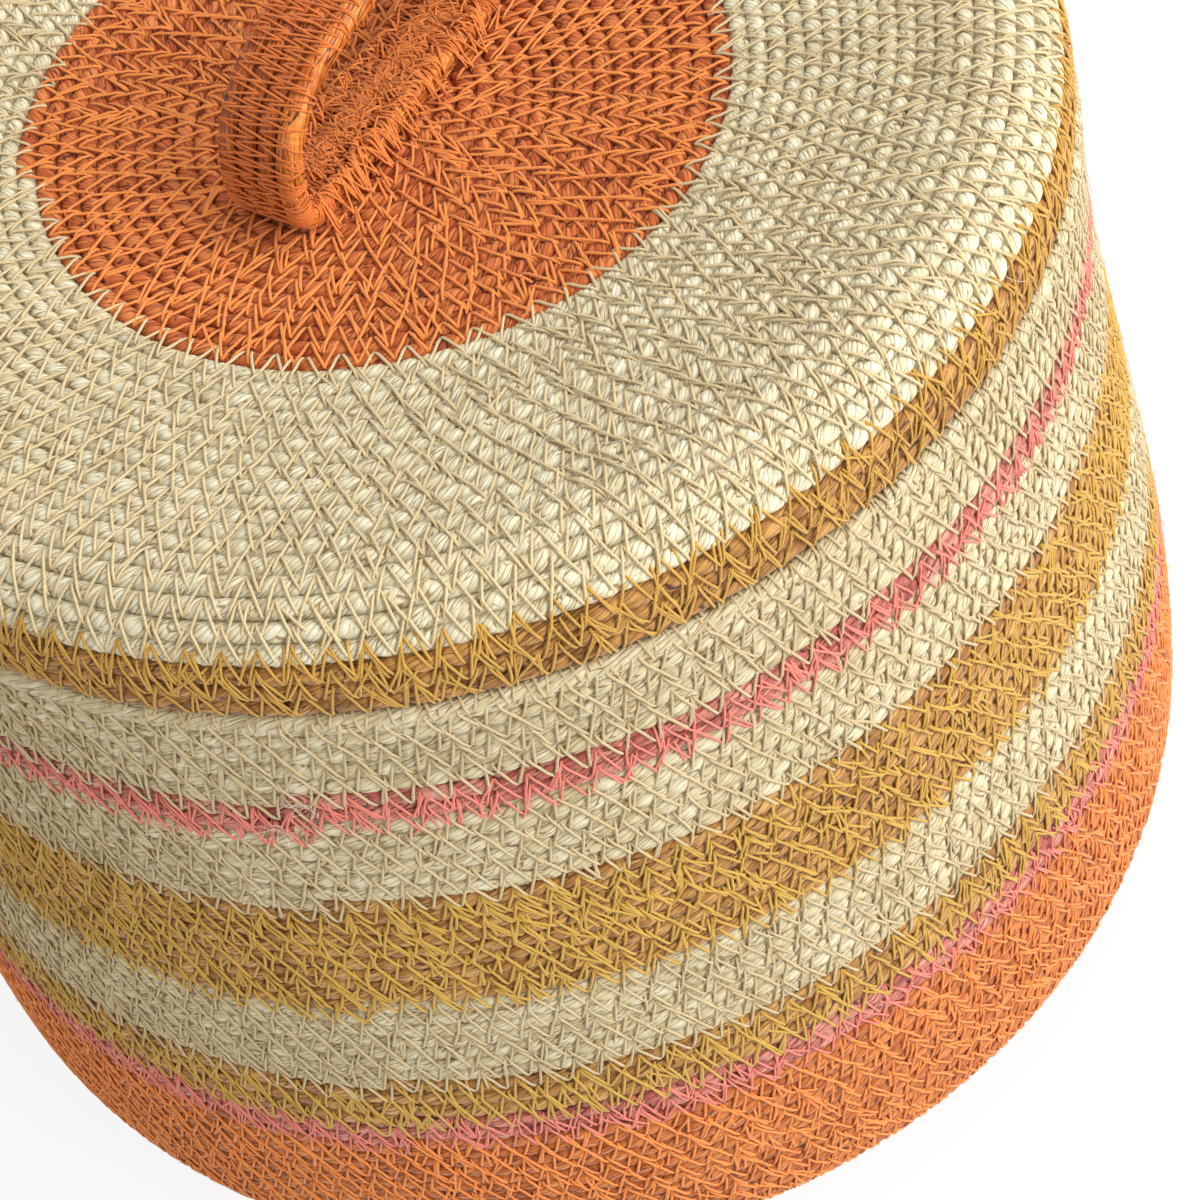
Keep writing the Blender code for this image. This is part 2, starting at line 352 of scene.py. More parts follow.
@dataclass(frozen=True)
class SewingThread(Finish):
    """Two-ply raffia-like sewing thread: soft and a little fuzzy, with the twist of its plies just showing.

    Attributes:
        light: the lighter colour, painted on a ply's crest as light.
        shade: the darker colour, painted between the plies as shade.
        width: the thread's width.
        extra: how many more legs lie beside each one, on average, where the maker sewed over it again.
        ply_length: the length in which a ply goes once round.
        relief: the height of the plies and their fuzz, in metres.
    """

    light: str
    shade: str
    width: float
    extra: float = 0.06
    ply_length: float = 0.0016
    roughness: float = 0.75
    specular: float = 0.25
    sheen: float = 0.18
    relief: float = 0.00010
    relief_share: float = 0.8

    def surface(
        self, tree: bpy.types.NodeTree, cord_map: bpy.types.NodeSocket
    ) -> tuple[bpy.types.NodeSocket, bpy.types.NodeSocket]:
        """Draws the twist of the plies and the fuzz on them.

        Args:
            tree: the material's node tree.
            cord_map: the place along and around the thread, in metres.

        Returns:
            The colour and the height.
        """
        # Two plies cross the thread's width once in every half ply length.
        plies = (2 / self.ply_length, 2 / (math.pi * self.width), 0.0)
        wound = add_node(tree, "VectorMath", {0: cord_map, 1: plies}, operation="DOT_PRODUCT")
        wave = add_node(tree, "Math", {0: wound.outputs["Value"], 1: math.pi}, operation="MULTIPLY")
        for step in ("SINE", "ABSOLUTE"):
            wave = add_node(tree, "Math", {0: wave.outputs[0]}, operation=step)
        # Fuzz about 0.7 mm long and 0.2 mm wide
        fuzz_scale = {0: cord_map, 1: (1500.0, 4500.0, 1.0)}
        stretched = add_node(tree, "VectorMath", fuzz_scale, operation="MULTIPLY")
        fuzz = add_node(tree, "TexNoise", {"Vector": stretched.outputs[0], "Scale": 1.0, "Detail": 2.0})
        tint = add_node(tree, "Attribute", attribute_name="tint")
        # The ply wave paints light on each crest and shade in the groove between plies. It is also the
        # thread's relief.
        mixed = fuzz.outputs["Fac"]
        for part, weight in ((wave.outputs[0], 0.40), (tint.outputs["Fac"], 0.35)):
            terms = {0: part, 1: weight, 2: mixed}
            mixed = add_node(tree, "Math", terms, operation="MULTIPLY_ADD").outputs[0]
        stops = [(0.40, linear(self.shade)), (0.85, linear(self.light))]
        colours = add_node(tree, "ValToRGB", {"Fac": mixed}, stops=stops)
        return colours.outputs["Color"], mixed


@dataclass(frozen=True)
class PaleFloor:
    """Matt white studio paper. It shows as white to the camera and keeps a soft shadow."""

    name: str = "studio_paper"
    colour: str = "E6E6E6"
    roughness: float = 0.95
    specular: float = 0.1
    glow: float = 1.02
    white_share: float = 0.85

    def material(self) -> bpy.types.Material:
        """Builds the material.

        Returns:
            The finished material.
        """
        material = bpy.data.materials.new(self.name)
        material.use_nodes = True
        tree = material.node_tree
        shader = tree.nodes["Principled BSDF"]
        shader.inputs["Base Color"].default_value = linear(self.colour)
        shader.inputs["Roughness"].default_value = self.roughness
        shader.inputs["Specular IOR Level"].default_value = self.specular
        glow = add_node(tree, "Emission", {"Color": (1.0, 1.0, 1.0, 1.0), "Strength": self.glow})
        share = add_node(tree, "Math", {0: seen_directly(tree), 1: self.white_share}, operation="MULTIPLY")
        mixed = add_node(tree, "MixShader", {0: share.outputs[0], 1: shader.outputs[0], 2: glow.outputs[0]})
        tree.links.new(mixed.outputs[0], tree.nodes["Material Output"].inputs["Surface"])
        return material


# The lid's cord is twisted harder than the wall's, and the strap's is smooth and shines a little.
LID_BLADES = {"lay": 46.0, "blade_length": 0.0080, "sheen": 0.05}
STRAP_GLOSS = {"roughness": 0.40, "specular": 0.30, "sheen": 0.0}
# The walls' natural cord is painted darker than the lid's, as painted shade on the walls and painted light on
# the lid's upward top.
NATURAL_WALL = SeagrassCord("natural_seagrass", "DACFB0", "C9B98F", "AC9567", "7C613A", sheen=0.05)
NATURAL_LID = SeagrassCord("natural_seagrass_lid", "E3DBC0", "D6CAA5", "BEAA81", "8E7249", **LID_BLADES)
MUSTARD_CORD = SeagrassCord("mustard_seagrass", "D0A05E", "A26C30", "76421B", "40240C")
RIM_CORD = SeagrassCord("rim_seagrass", "CA9450", "9A662C", "6E401A", "3A220E")
PINK_CORD = SeagrassCord("pink_seagrass", "DC9A86", "B05849", "80382F", "4E1B16")
ORANGE_CORD = SeagrassCord("orange_seagrass", "DA8646", "B45E26", "86401A", "56260F")
ORANGE_LID = SeagrassCord("orange_seagrass_lid", "DC8244", "B25222", "823210", "431808", **LID_BLADES)
STRAP_CORD = SeagrassCord(
    "strap_seagrass", "D0702A", "98420F", "622208", "2A0C03", lay=4.0, blade_length=0.012, **STRAP_GLOSS
)
BARE_STRAP_CORD = SeagrassCord(
    "bare_strap_seagrass", "E69440", "BE6020", "843610", "341004", lay=6.0, blade_width=0.0014, **STRAP_GLOSS
)
CORDS = {
    Dye.NATURAL: NATURAL_WALL,
    Dye.MUSTARD: MUSTARD_CORD,
    Dye.PINK: PINK_CORD,
    Dye.ORANGE: ORANGE_CORD,
}
LID_CORDS = {Dye.NATURAL: NATURAL_LID, Dye.MUSTARD: RIM_CORD, Dye.ORANGE: ORANGE_LID}
THREADS = {
    Dye.NATURAL: SewingThread("natural_thread", "C3AD83", "9C845E", 0.00066),
    Dye.MUSTARD: SewingThread("mustard_thread", "C2983F", "8E6A2C", 0.00068, extra=0.70),
    Dye.PINK: SewingThread("pink_thread", "DC7E6C", "BA5E50", 0.00056, extra=1.1),
    Dye.ORANGE: SewingThread("orange_thread", "E4883F", "BB5C22", 0.00068, extra=0.30),
}
# Bands that hardly show have stations further apart on their cord, and no loose fibres.
HIDDEN_SPACING = {"base_disc": 0.0012, "neck_ring": 0.0010}
# Bands whose thread isn't the plain one of their dye
OWN_THREADS = {
    # The lid's natural thread is painted paler than the walls' one, as painted light on the lid's top.
    "lid_crown": SewingThread("lid_thread", "CEB88D", "A68E67", 0.00066),
    "lid_rim_band": SewingThread("rim_thread", "C2943F", "8C6428", 0.00058, extra=1.0),
}
STRAP_THREAD = SewingThread("strap_thread", "D4702B", "9E4616", 0.00052)
FOOT_THREAD = SewingThread("foot_thread", "DE813A", "B65622", 0.00052)
LOOSE_FIBRE = SewingThread("loose_fibre", "EFE6CC", "CDBE94", 0.00012)
FRAYED_FIBRE = SewingThread("frayed_fibre", "F4DCC8", "E2AC9A", 0.00014)


@dataclass(frozen=True)
class Sizes:
    """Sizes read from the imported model.

    Attributes:
        rim_height: where the lid's rim rests.
        lid_radius: the lid's outer radius.
        belly_radius: the widest radius of the body.
        neck_top: the top of the drawn-in mouth.
        handle_length: the strap's length along X.
        handle_top: the top of the arch.
    """

    rim_height: float
    lid_radius: float
    belly_radius: float
    neck_top: float
    handle_length: float
    handle_top: float

    @classmethod
    def from_frame(cls) -> "Sizes":
        """Reads the boxes of the CAD nodes.

        Returns:
            The sizes in metres.
        """
        rim_low, rim_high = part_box("lid_rim_band")
        _, wall_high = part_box("orange_wall")
        _, neck_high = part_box("neck_ring")
        strap_low, strap_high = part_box("handle_strap")
        return cls(
            rim_height=rim_low.z,
            lid_radius=rim_high.x,
            belly_radius=wall_high.x,
            neck_top=neck_high.z,
            handle_length=strap_high.x - strap_low.x,
            handle_top=strap_high.z,
        )


class CentreLine:
    """A line in the (radius, height) plane, read by the distance along it."""

    # How much longer the line is made at each end
    MORE = 0.01

    def __init__(self, points: np.ndarray, reach: float = 0.0012) -> None:
        """Keeps the line and the distance at each of its points.

        Args:
            points: radius and height of each point.
            reach: how far each way a direction is taken over.
        """
        points = np.asarray(points, float)
        steps = np.linalg.norm(np.diff(points, axis=0), axis=1)
        points = points[np.append(True, steps > 1e-9)]
        before = points[0] - self.MORE * self._direction(points[0], points[1])
        after = points[-1] + self.MORE * self._direction(points[-2], points[-1])
        self.points = np.vstack([before, points, after])
        self.along = run_along(self.points) - self.MORE
        self.length = self.along[-2]
        self.reach = reach

    @staticmethod
    def _direction(start: np.ndarray, end: np.ndarray) -> np.ndarray:
        """The unit direction from one point to another."""
        return (end - start) / np.linalg.norm(end - start)

    def point(self, distance: np.ndarray) -> tuple[np.ndarray, np.ndarray]:
        """Radius and height at a distance along the line."""
        radius = np.interp(distance, self.along, self.points[:, 0])
        height = np.interp(distance, self.along, self.points[:, 1])
        return radius, height

    def ahead(self, distance: np.ndarray) -> tuple[np.ndarray, np.ndarray]:
        """The unit direction of the line, as its radius and height parts."""
        low = self.point(distance - self.reach)
        high = self.point(distance + self.reach)
        step = (high[0] - low[0], high[1] - low[1])
        size = np.hypot(*step)
        return step[0] / size, step[1] / size


def arc(centre: tuple[float, float], radius: float, start: float, end: float) -> np.ndarray:
    """Points on an arc in the (radius, height) plane."""
    count = max(4, round(abs(end - start) * radius / OUTLINE_STEP))
    angles = np.linspace(start, end, count)
    return np.column_stack([centre[0] + radius * np.cos(angles), centre[1] + radius * np.sin(angles)])


def moved_in(points: np.ndarray, depth: float) -> np.ndarray:
    """A line moved into the wall, which is on its left.

    Args:
        points: radius and height of each point, close together.
        depth: how far.

    Returns:
        The moved points.
    """
    ahead = np.gradient(points, axis=0)
    ahead /= np.linalg.norm(ahead, axis=1)[:, None]
    return points + depth * np.column_stack([ahead[:, 1], -ahead[:, 0]])


@dataclass(frozen=True)
class Band:
    """One dyed length of a coil.

    Attributes:
        node: the CAD node that it stands for.
        rows: how many rows.
        end: the distance along the centre line where it ends.
        dye: its colour.
    """

    node: str
    rows: int
    end: float
    dye: Dye


@dataclass
class Coil:
    """A cord wound round the axis, row beside row. A turn is counted from the coil's first end.

    Attributes:
        line: the centre line that the rows follow.
        bands: the dyed lengths, in order.
        start_angle: where a whole number of turns lies.
        first: the turn where the cord begins.
        last: the turn where it ends.
    """

    line: CentreLine
    bands: tuple[Band, ...]
    start_angle: float
    first: float
    last: float

    def __post_init__(self) -> None:
        """Works out the turn and the distance at the band edges."""
        rows = np.cumsum([0] + [band.rows for band in self.bands]).astype(float)
        ends = np.array([0.0] + [band.end for band in self.bands])
        first_pitch = (ends[1] - ends[0]) / (rows[1] - rows[0])
        last_pitch = (ends[-1] - ends[-2]) / (rows[-1] - rows[-2])
        self.rows = rows
        self.knot_turns = np.concatenate([[-2.0], rows, [rows[-1] + 2]])
        self.knot_ends = np.concatenate([[-2 * first_pitch], ends, [ends[-1] + 2 * last_pitch]])

    def levelled(self, turn: np.ndarray) -> np.ndarray:
        """The turn whose place on the plain spiral the cord takes at this turn."""
        return turn

    def fullness(self, turn: np.ndarray) -> np.ndarray:
        """The share of the full thickness at this turn."""
        return np.ones_like(turn)

    def distance(self, turn: np.ndarray) -> np.ndarray:
        """The distance of the cord's middle along the centre line."""
        return np.interp(self.levelled(turn), self.knot_turns, self.knot_ends)

    def pitch(self, turn: np.ndarray) -> np.ndarray:
        """The height of the row at this turn, between its two neighbours."""
        return (self.distance(turn + 1) - self.distance(turn - 1)) / 2

    def radius(self, turn: np.ndarray) -> np.ndarray:
        """The radius of the cord's middle."""
        return self.line.point(self.distance(turn))[0]

    def round_length(self, turn: np.ndarray, least: float = 0.003) -> np.ndarray:
        """The length of one turn here, as if the radius were never less than the least one."""
        return FULL_TURN * np.maximum(self.radius(turn), least)

    def placed(self, turn: np.ndarray, distance: np.ndarray, out: np.ndarray) -> np.ndarray:
        """Points by turn, by distance along the centre line and by height over it.

        Args:
            turn: the turns, which give the angle.
            distance: the distance along the centre line.
            out: how far outside the centre line.

        Returns:
            The points, with x, y and z last.
        """
        radius, height = self.line.point(distance)
        ahead_r, ahead_z = self.line.ahead(distance)
        return self.offset(turn, radius, height, -ahead_z * out, ahead_r * out)

    def offset(
        self, turn: np.ndarray, radius: np.ndarray, height: np.ndarray, out_r: np.ndarray, out_z: np.ndarray
    ) -> np.ndarray:
        """Points at an angle given by the turn, from a radius and a height moved by out_r and out_z."""
        angle = self.start_angle + FULL_TURN * turn
        reach = radius + out_r
        return np.stack([reach * np.cos(angle), reach * np.sin(angle), height + out_z], axis=-1)

    def even_turns(self, first: float, last: float, spacing: float) -> np.ndarray:
        """Turns at an even distance along the cord.

        Args:
            first: the first turn.
            last: the last turn.
            spacing: the distance between two of them, in metres.

        Returns:
            The turns.
        """
        fine = np.linspace(first, last, max(50, int((last - first) * 200)))
        radius = np.maximum(self.radius(fine), 0.001)
        run = np.append(0.0, np.cumsum(FULL_TURN * (radius[1:] + radius[:-1]) / 2 * np.diff(fine)))
        count = max(8, int(run[-1] / spacing))
        return np.interp(np.linspace(0.0, run[-1], count), run, fine)


class WallCoil(Coil):
    """The body's coil. Its first row tapers in on top of the neck, over a tenth of a turn."""

    TAPER = 0.10

    def fullness(self, turn: np.ndarray) -> np.ndarray:
        """Grows from a thin end to the full cord."""
        return 0.15 + 0.85 * smooth_step(turn / self.TAPER)

    def levelled(self, turn: np.ndarray) -> np.ndarray:
        """The thin end lies on the row under it."""
        return turn + 0.5 * (1 - self.fullness(turn))


class LidCoil(Coil):
    """The lid's coil. Its last rows are level, so that the rim rests flat, and step down at one place."""

    JOG = 0.12
    LEVEL_ROWS = 3.0
    EASE_ROWS = 8.0

    def _step(self, turn: np.ndarray) -> np.ndarray:
        """The share of a row's step down that is behind at this turn."""
        return smooth_step((turn - np.floor(turn) - 1 + self.JOG) / self.JOG)

    def levelled(self, turn: np.ndarray) -> np.ndarray:
        """Eases from the spiral to level rows, and wedges the last row's end under the row above it."""
        rows = self.rows[-1]
        weight = smooth_step((turn - rows + self.LEVEL_ROWS + self.EASE_ROWS) / self.EASE_ROWS)
        step = self._step(turn)
        level = np.floor(turn) + 0.5 + step
        level = np.where((turn >= rows - 1) & (turn <= rows), rows - (1 - step) / 2, level)
        return turn + weight * (level - turn)

    def fullness(self, turn: np.ndarray) -> np.ndarray:
        """The last row thins out where it steps down."""
        return np.where(turn >= self.rows[-1] - 1, np.maximum(1 - self._step(turn), 0.1), 1.0)


@dataclass(frozen=True)
class StitchPattern:
    """How a zig-zag seam runs.

    Attributes:
        period: the length of one zig and one zag along the row.
        down_share: the share of the period that the leg from the near row to the far row takes.
        overreach: how far past a row's middle the thread goes down into it, as a share of a row.
        open_end: the most that the two legs are apart where they go into the cord.
        edge_reach: how much further the last row's stitches go, down to its free edge, as a share of a row.
    """

    period: float = 0.0065
    down_share: float = 0.66
    overreach: float = 0.32
    open_end: float = 0.0014
    edge_reach: float = 0.0


class Seam:
    """The stitches that join each row of a coil to the next. A stitch is placed by the nearer row's turn.

    Constants:
        PHASE_WANDER: how the stitch length wanders, as stations between two values and their deviation.
        HOLE_SCATTER: how unevenly holes lie along the row, as a share of a stitch.
        SLIP: how unevenly they lie across it, as a share of a row.
        OPEN_CHANCE: how many of the ends have their two legs apart.
        CLOSED_SHARE: how far apart the others are, as a share of the most.
        BESIDE_SCATTER: how far a leg lies from the one that it doubles, in metres.
        BESIDE_SLIP: how far its ends slip, as a share of a row.
    """

    PHASE_WANDER = (90, 0.16)
    HOLE_SCATTER = 0.045
    SLIP = 0.05
    OPEN_CHANCE = 0.45
    CLOSED_SHARE = 0.1
    BESIDE_SCATTER = 0.0014
    BESIDE_SLIP = 0.10

    def __init__(self, coil: Coil, pattern: StitchPattern, first: float, last: float, seed: int) -> None:
        """Places every stitch hole.

        Args:
            coil: the coil that is sewn.
            pattern: the zig-zag.
            first: the turn of the first stitch.
            last: the turn of the last.
            seed: for the unevenness of hand-guided sewing.
        """
        self.coil = coil
        self.pattern = pattern
        self.seed = seed
        self.edge = last - 1
        rng = np.random.default_rng(seed)
        turn = np.linspace(first, last, int((last - first) * 400))
        # Legs of neighbouring rows line up when a row has a whole number of stitches less this share.
        drift = pattern.down_share / (1 + 2 * pattern.overreach)
        stitches = np.round(coil.round_length(turn + 0.5) / pattern.period + drift) - drift
        phase = np.append(0.0, np.cumsum((stitches[1:] + stitches[:-1]) / 2 * np.diff(turn)))
        phase += wander(rng, len(turn), *self.PHASE_WANDER)
        phase = np.maximum.accumulate(phase + np.arange(len(phase)) * 1e-9)
        count = int(phase[-1] - phase[0]) - 2
        whole = math.ceil(phase[0]) + np.arange(count)
        near = whole + rng.normal(0.0, self.HOLE_SCATTER, count)
        far = whole + pattern.down_share + rng.normal(0.0, self.HOLE_SCATTER, count)
        self.near = np.interp(near, phase, turn)
        self.far = np.interp(far, phase, turn)
        self.near_slip, self.far_slip = rng.normal(0.0, self.SLIP, (2, count))
        opened = rng.random((2, count)) < self.OPEN_CHANCE
        apart = np.where(opened, rng.random((2, count)), self.CLOSED_SHARE)
        self.near_open, self.far_open = apart * pattern.open_end / 2
        self.shade = rng.random((2, count))

    def span(self, turn: np.ndarray) -> tuple[np.ndarray, np.ndarray]:
        """The distances along the centre line between which a seam's thread lies at this turn."""
        start = self.coil.distance(turn) - self.pattern.overreach * self.coil.pitch(turn)
        reach = self.pattern.overreach + self.pattern.edge_reach * smooth_step((turn - self.edge) * 8)
        end = self.coil.distance(turn + 1) + reach * self.coil.pitch(turn + 1)
        return start, end

    def nearest(
        self, turn: np.ndarray, share: np.ndarray, radius: np.ndarray
    ) -> tuple[np.ndarray, np.ndarray]:
        """How far points on the cord are from the thread, and which patch between the legs they are in.

        Args:
            turn: the nearer row's turn at each point.
            share: the point's place between the two ends of the stitch.
            radius: the radius there.

        Returns:
            The distance in metres, and the random shade of the patch.
        """
        count = len(self.near)
        index = np.clip(np.searchsorted(self.near, turn) - 1, 1, count - 3)
        least = np.full(np.shape(turn), 1.0)
        for shift in (-1, 0, 1):
            k = index + shift
            down = self.near[k] + share * (self.far[k] - self.near[k])
            up = self.far[k] + (1 - share) * (self.near[k + 1] - self.far[k])
            least = np.minimum(least, np.minimum(np.abs(turn - down), np.abs(turn - up)))
        up = self.far[index] + (1 - share) * (self.near[index + 1] - self.far[index])
        patch = self.shade[np.where(turn < up, 0, 1), index]
        return least * FULL_TURN * radius, patch

    def legs(self, first: float, last: float, extra: float) -> dict[str, np.ndarray]:
        """The ends of the legs whose nearer hole lies between two turns.

        Args:
            first: the first turn.
            last: the last turn.
            extra: how many more legs lie beside each one, on average.

        Returns:
            By name: the turn at the near and the far end, the slip at both ends, a shade from 0 to 1,
            and the share by which the leg lies under the others.
        """
        chosen = np.nonzero((self.near >= first) & (self.near < last))[0]
        chosen = chosen[chosen < len(self.near) - 1]
        after = chosen + 1
        round_length = self.coil.round_length(self.near[chosen] + 0.5)
        near_open = self.near_open[chosen] / round_length
        far_open = self.far_open[chosen] / round_length
        next_open = self.near_open[after] / round_length
        found = {
            "near": np.concatenate([self.near[chosen] + near_open, self.near[after] - next_open]),
            "far": np.concatenate([self.far[chosen] - far_open, self.far[chosen] + far_open]),
            "near_slip": np.concatenate([self.near_slip[chosen], self.near_slip[after]]),
            "far_slip": np.tile(self.far_slip[chosen], 2),
            "shade": self.shade[:, chosen].ravel(),
            "under": np.repeat([0.0, 1.0], len(chosen)),
        }
        rng = dice(self.seed, first)
        count = 2 * len(chosen)
        doubled = np.repeat(np.arange(count), rng.poisson(extra, count))
        beside = {key: values[doubled] for key, values in found.items()}
        round_length = round_length[doubled % len(round_length)]
        for key in ("near", "far"):
            beside[key] += rng.normal(0.0, self.BESIDE_SCATTER, len(doubled)) / round_length
        for key in ("near_slip", "far_slip"):
            beside[key] += rng.normal(0.0, self.BESIDE_SLIP, len(doubled))
        for key in ("shade", "under"):
            beside[key] = rng.random(len(doubled))
        return {key: np.concatenate([found[key], beside[key]]) for key in found}


@dataclass
class Tubes:
    """Tubes of one build, as rings of points.

    Attributes:
        rings: the points, by tube, station and place around.
        run: the distance along each tube at each station.
        girth: the distance around.
        tint: a shade from 0 to 1 for each point.
        press_and_shade: painted shade from 0 to 1, where a stitch presses a point in and in the groove beside
            a cord.
        cut: how many stations go into one strip of the bake map.
    """

    rings: np.ndarray
    run: np.ndarray
    girth: float
    tint: np.ndarray
    press_and_shade: np.ndarray
    cut: int

    def triangles(self) -> int:
        """How many triangles the tubes come to."""
        tubes, stations, around, _ = self.rings.shape
        return 2 * tubes * (stations - 1) * around

    def parts(self) -> list["Tubes"]:
        """Cuts the set so that each part stays under the most triangles of a piece.

        Returns:
            The parts, in order along the tubes.
        """
        count = math.ceil(self.triangles() / MOST_TRIANGLES)
        if count == 1:
            return [self]
        tubes, stations = self.rings.shape[:2]
        found = []
        for i in range(count):
            if tubes > 1:
                part = (slice(i * tubes // count, (i + 1) * tubes // count),)
            else:
                end = min((i + 1) * stations // count + 1, stations)
                part = (slice(None), slice(i * stations // count, end))
            shades = (self.tint[part], self.press_and_shade[part])
            found.append(Tubes(self.rings[part], self.run[part], self.girth, *shades, self.cut))
        return found

    def mesh(self, name: str) -> bpy.types.Mesh:
        """Builds the mesh with its two maps and its two shades.

        Args:
            name: the mesh's name.

        Returns:
            The mesh.
        """
        tubes, stations, around, _ = self.rings.shape
        tube, station, place = np.meshgrid(
            np.arange(tubes), np.arange(stations - 1), np.arange(around), indexing="ij"
        )
        tube, station, place = tube.ravel(), station.ravel(), place.ravel()
        corner_station = np.stack([station, station + 1, station + 1, station], axis=1)
        corner_place = np.stack([place, place, place + 1, place + 1], axis=1)
        corners = (tube[:, None] * stations + corner_station) * around + corner_place % around
        mesh = bpy.data.meshes.new(name)
        mesh.vertices.add(tubes * stations * around)
        mesh.vertices.foreach_set("co", self.rings.astype(np.float32).ravel())
        mesh.loops.add(corners.size)
        mesh.loops.foreach_set("vertex_index", corners.astype(np.int32).ravel())
        mesh.polygons.add(len(corners))
        mesh.polygons.foreach_set("loop_start", np.arange(0, corners.size, 4, dtype=np.int32))
        mesh.polygons.foreach_set("use_smooth", np.ones(len(corners), bool))
        along = self.run[tube[:, None], corner_station]
        around_share = corner_place / around
        cord_map = np.stack([along, around_share * self.girth], axis=-1)
        self._add_map(mesh, CORD_MAP, cord_map)
        self._add_map(mesh, BAKE_MAP, self._bake_map(tube, station, corner_station, around_share))
        mesh.uv_layers[CORD_MAP].active = True
        mesh.uv_layers[CORD_MAP].active_render = True
        for label, values in (("tint", self.tint), ("press_and_shade", self.press_and_shade)):
            shade = mesh.attributes.new(label, "FLOAT", "POINT")
            spread = np.broadcast_to(values, self.rings.shape[:3])
            shade.data.foreach_set("value", spread.astype(np.float32).ravel())
        mesh.update(calc_edges=True)
        mesh.validate()
        return mesh

    def _bake_map(
        self, tube: np.ndarray, station: np.ndarray, corner_station: np.ndarray, around_share: np.ndarray
    ) -> np.ndarray:
        """Lays each tube flat in strips, side by side in one square.

        Args:
            tube: each face's tube.
            station: each face's station.
            corner_station: the station of each corner.
            around_share: how far around each corner is.

        Returns:
            The place of each corner in the square.
        """
        tubes, stations = self.rings.shape[:2]
        cuts = math.ceil((stations - 1) / self.cut)
        cells = tubes * cuts
        length = float(np.mean(self.run[:, -1] - self.run[:, 0])) / cuts
        columns = max(1, round(math.sqrt(cells * self.girth / length)))
        rows = math.ceil(cells / columns)
        cell = tube * cuts + station // self.cut
        share = (corner_station - (station // self.cut * self.cut)[:, None]) / self.cut
        u = ((cell % columns)[:, None] + 0.02 + 0.96 * share) / columns
        v = ((cell // columns)[:, None] + 0.06 + 0.88 * around_share) / rows
        return np.stack([u, v], axis=-1)

    @staticmethod
    def _add_map(mesh: bpy.types.Mesh, name: str, places: np.ndarray) -> None:
        """Adds a UV map from one place for each corner."""
        layer = mesh.uv_layers.new(name=name, do_init=False)
        layer.uv.foreach_set("vector", places.astype(np.float32).ravel())


@dataclass
class Bench:
    """Puts finished pieces into the scene.

    Attributes:
        body: the CAD body that the pieces ride on.
        pieces: what has been made so far.
    """

    body: str
    pieces: list[bpy.types.Object] = field(default_factory=list)

    def add(self, name: str, tubes: Tubes, material: bpy.types.Material, dye: Dye, *nodes: str) -> None:
        """Makes the pieces of one set of tubes.

        Args:
            name: the piece's name.
            tubes: its shape.
            material: its finish.
            dye: not used.
            nodes: the CAD nodes that it stands for.
        """
        parts = tubes.parts()
        for number, part in enumerate(parts, 1):
            label = name if len(parts) == 1 else f"{name}_{number}"
            piece = bpy.data.objects.new(label, part.mesh(label))
            bpy.context.scene.collection.objects.link(piece)
            piece.data.materials.append(material)
            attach(piece, self.body)
            if nodes:
                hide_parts(*nodes)
            self.pieces.append(piece)
            LOG.info("%s rides on %s: %d triangles", label, self.body, part.triangles())


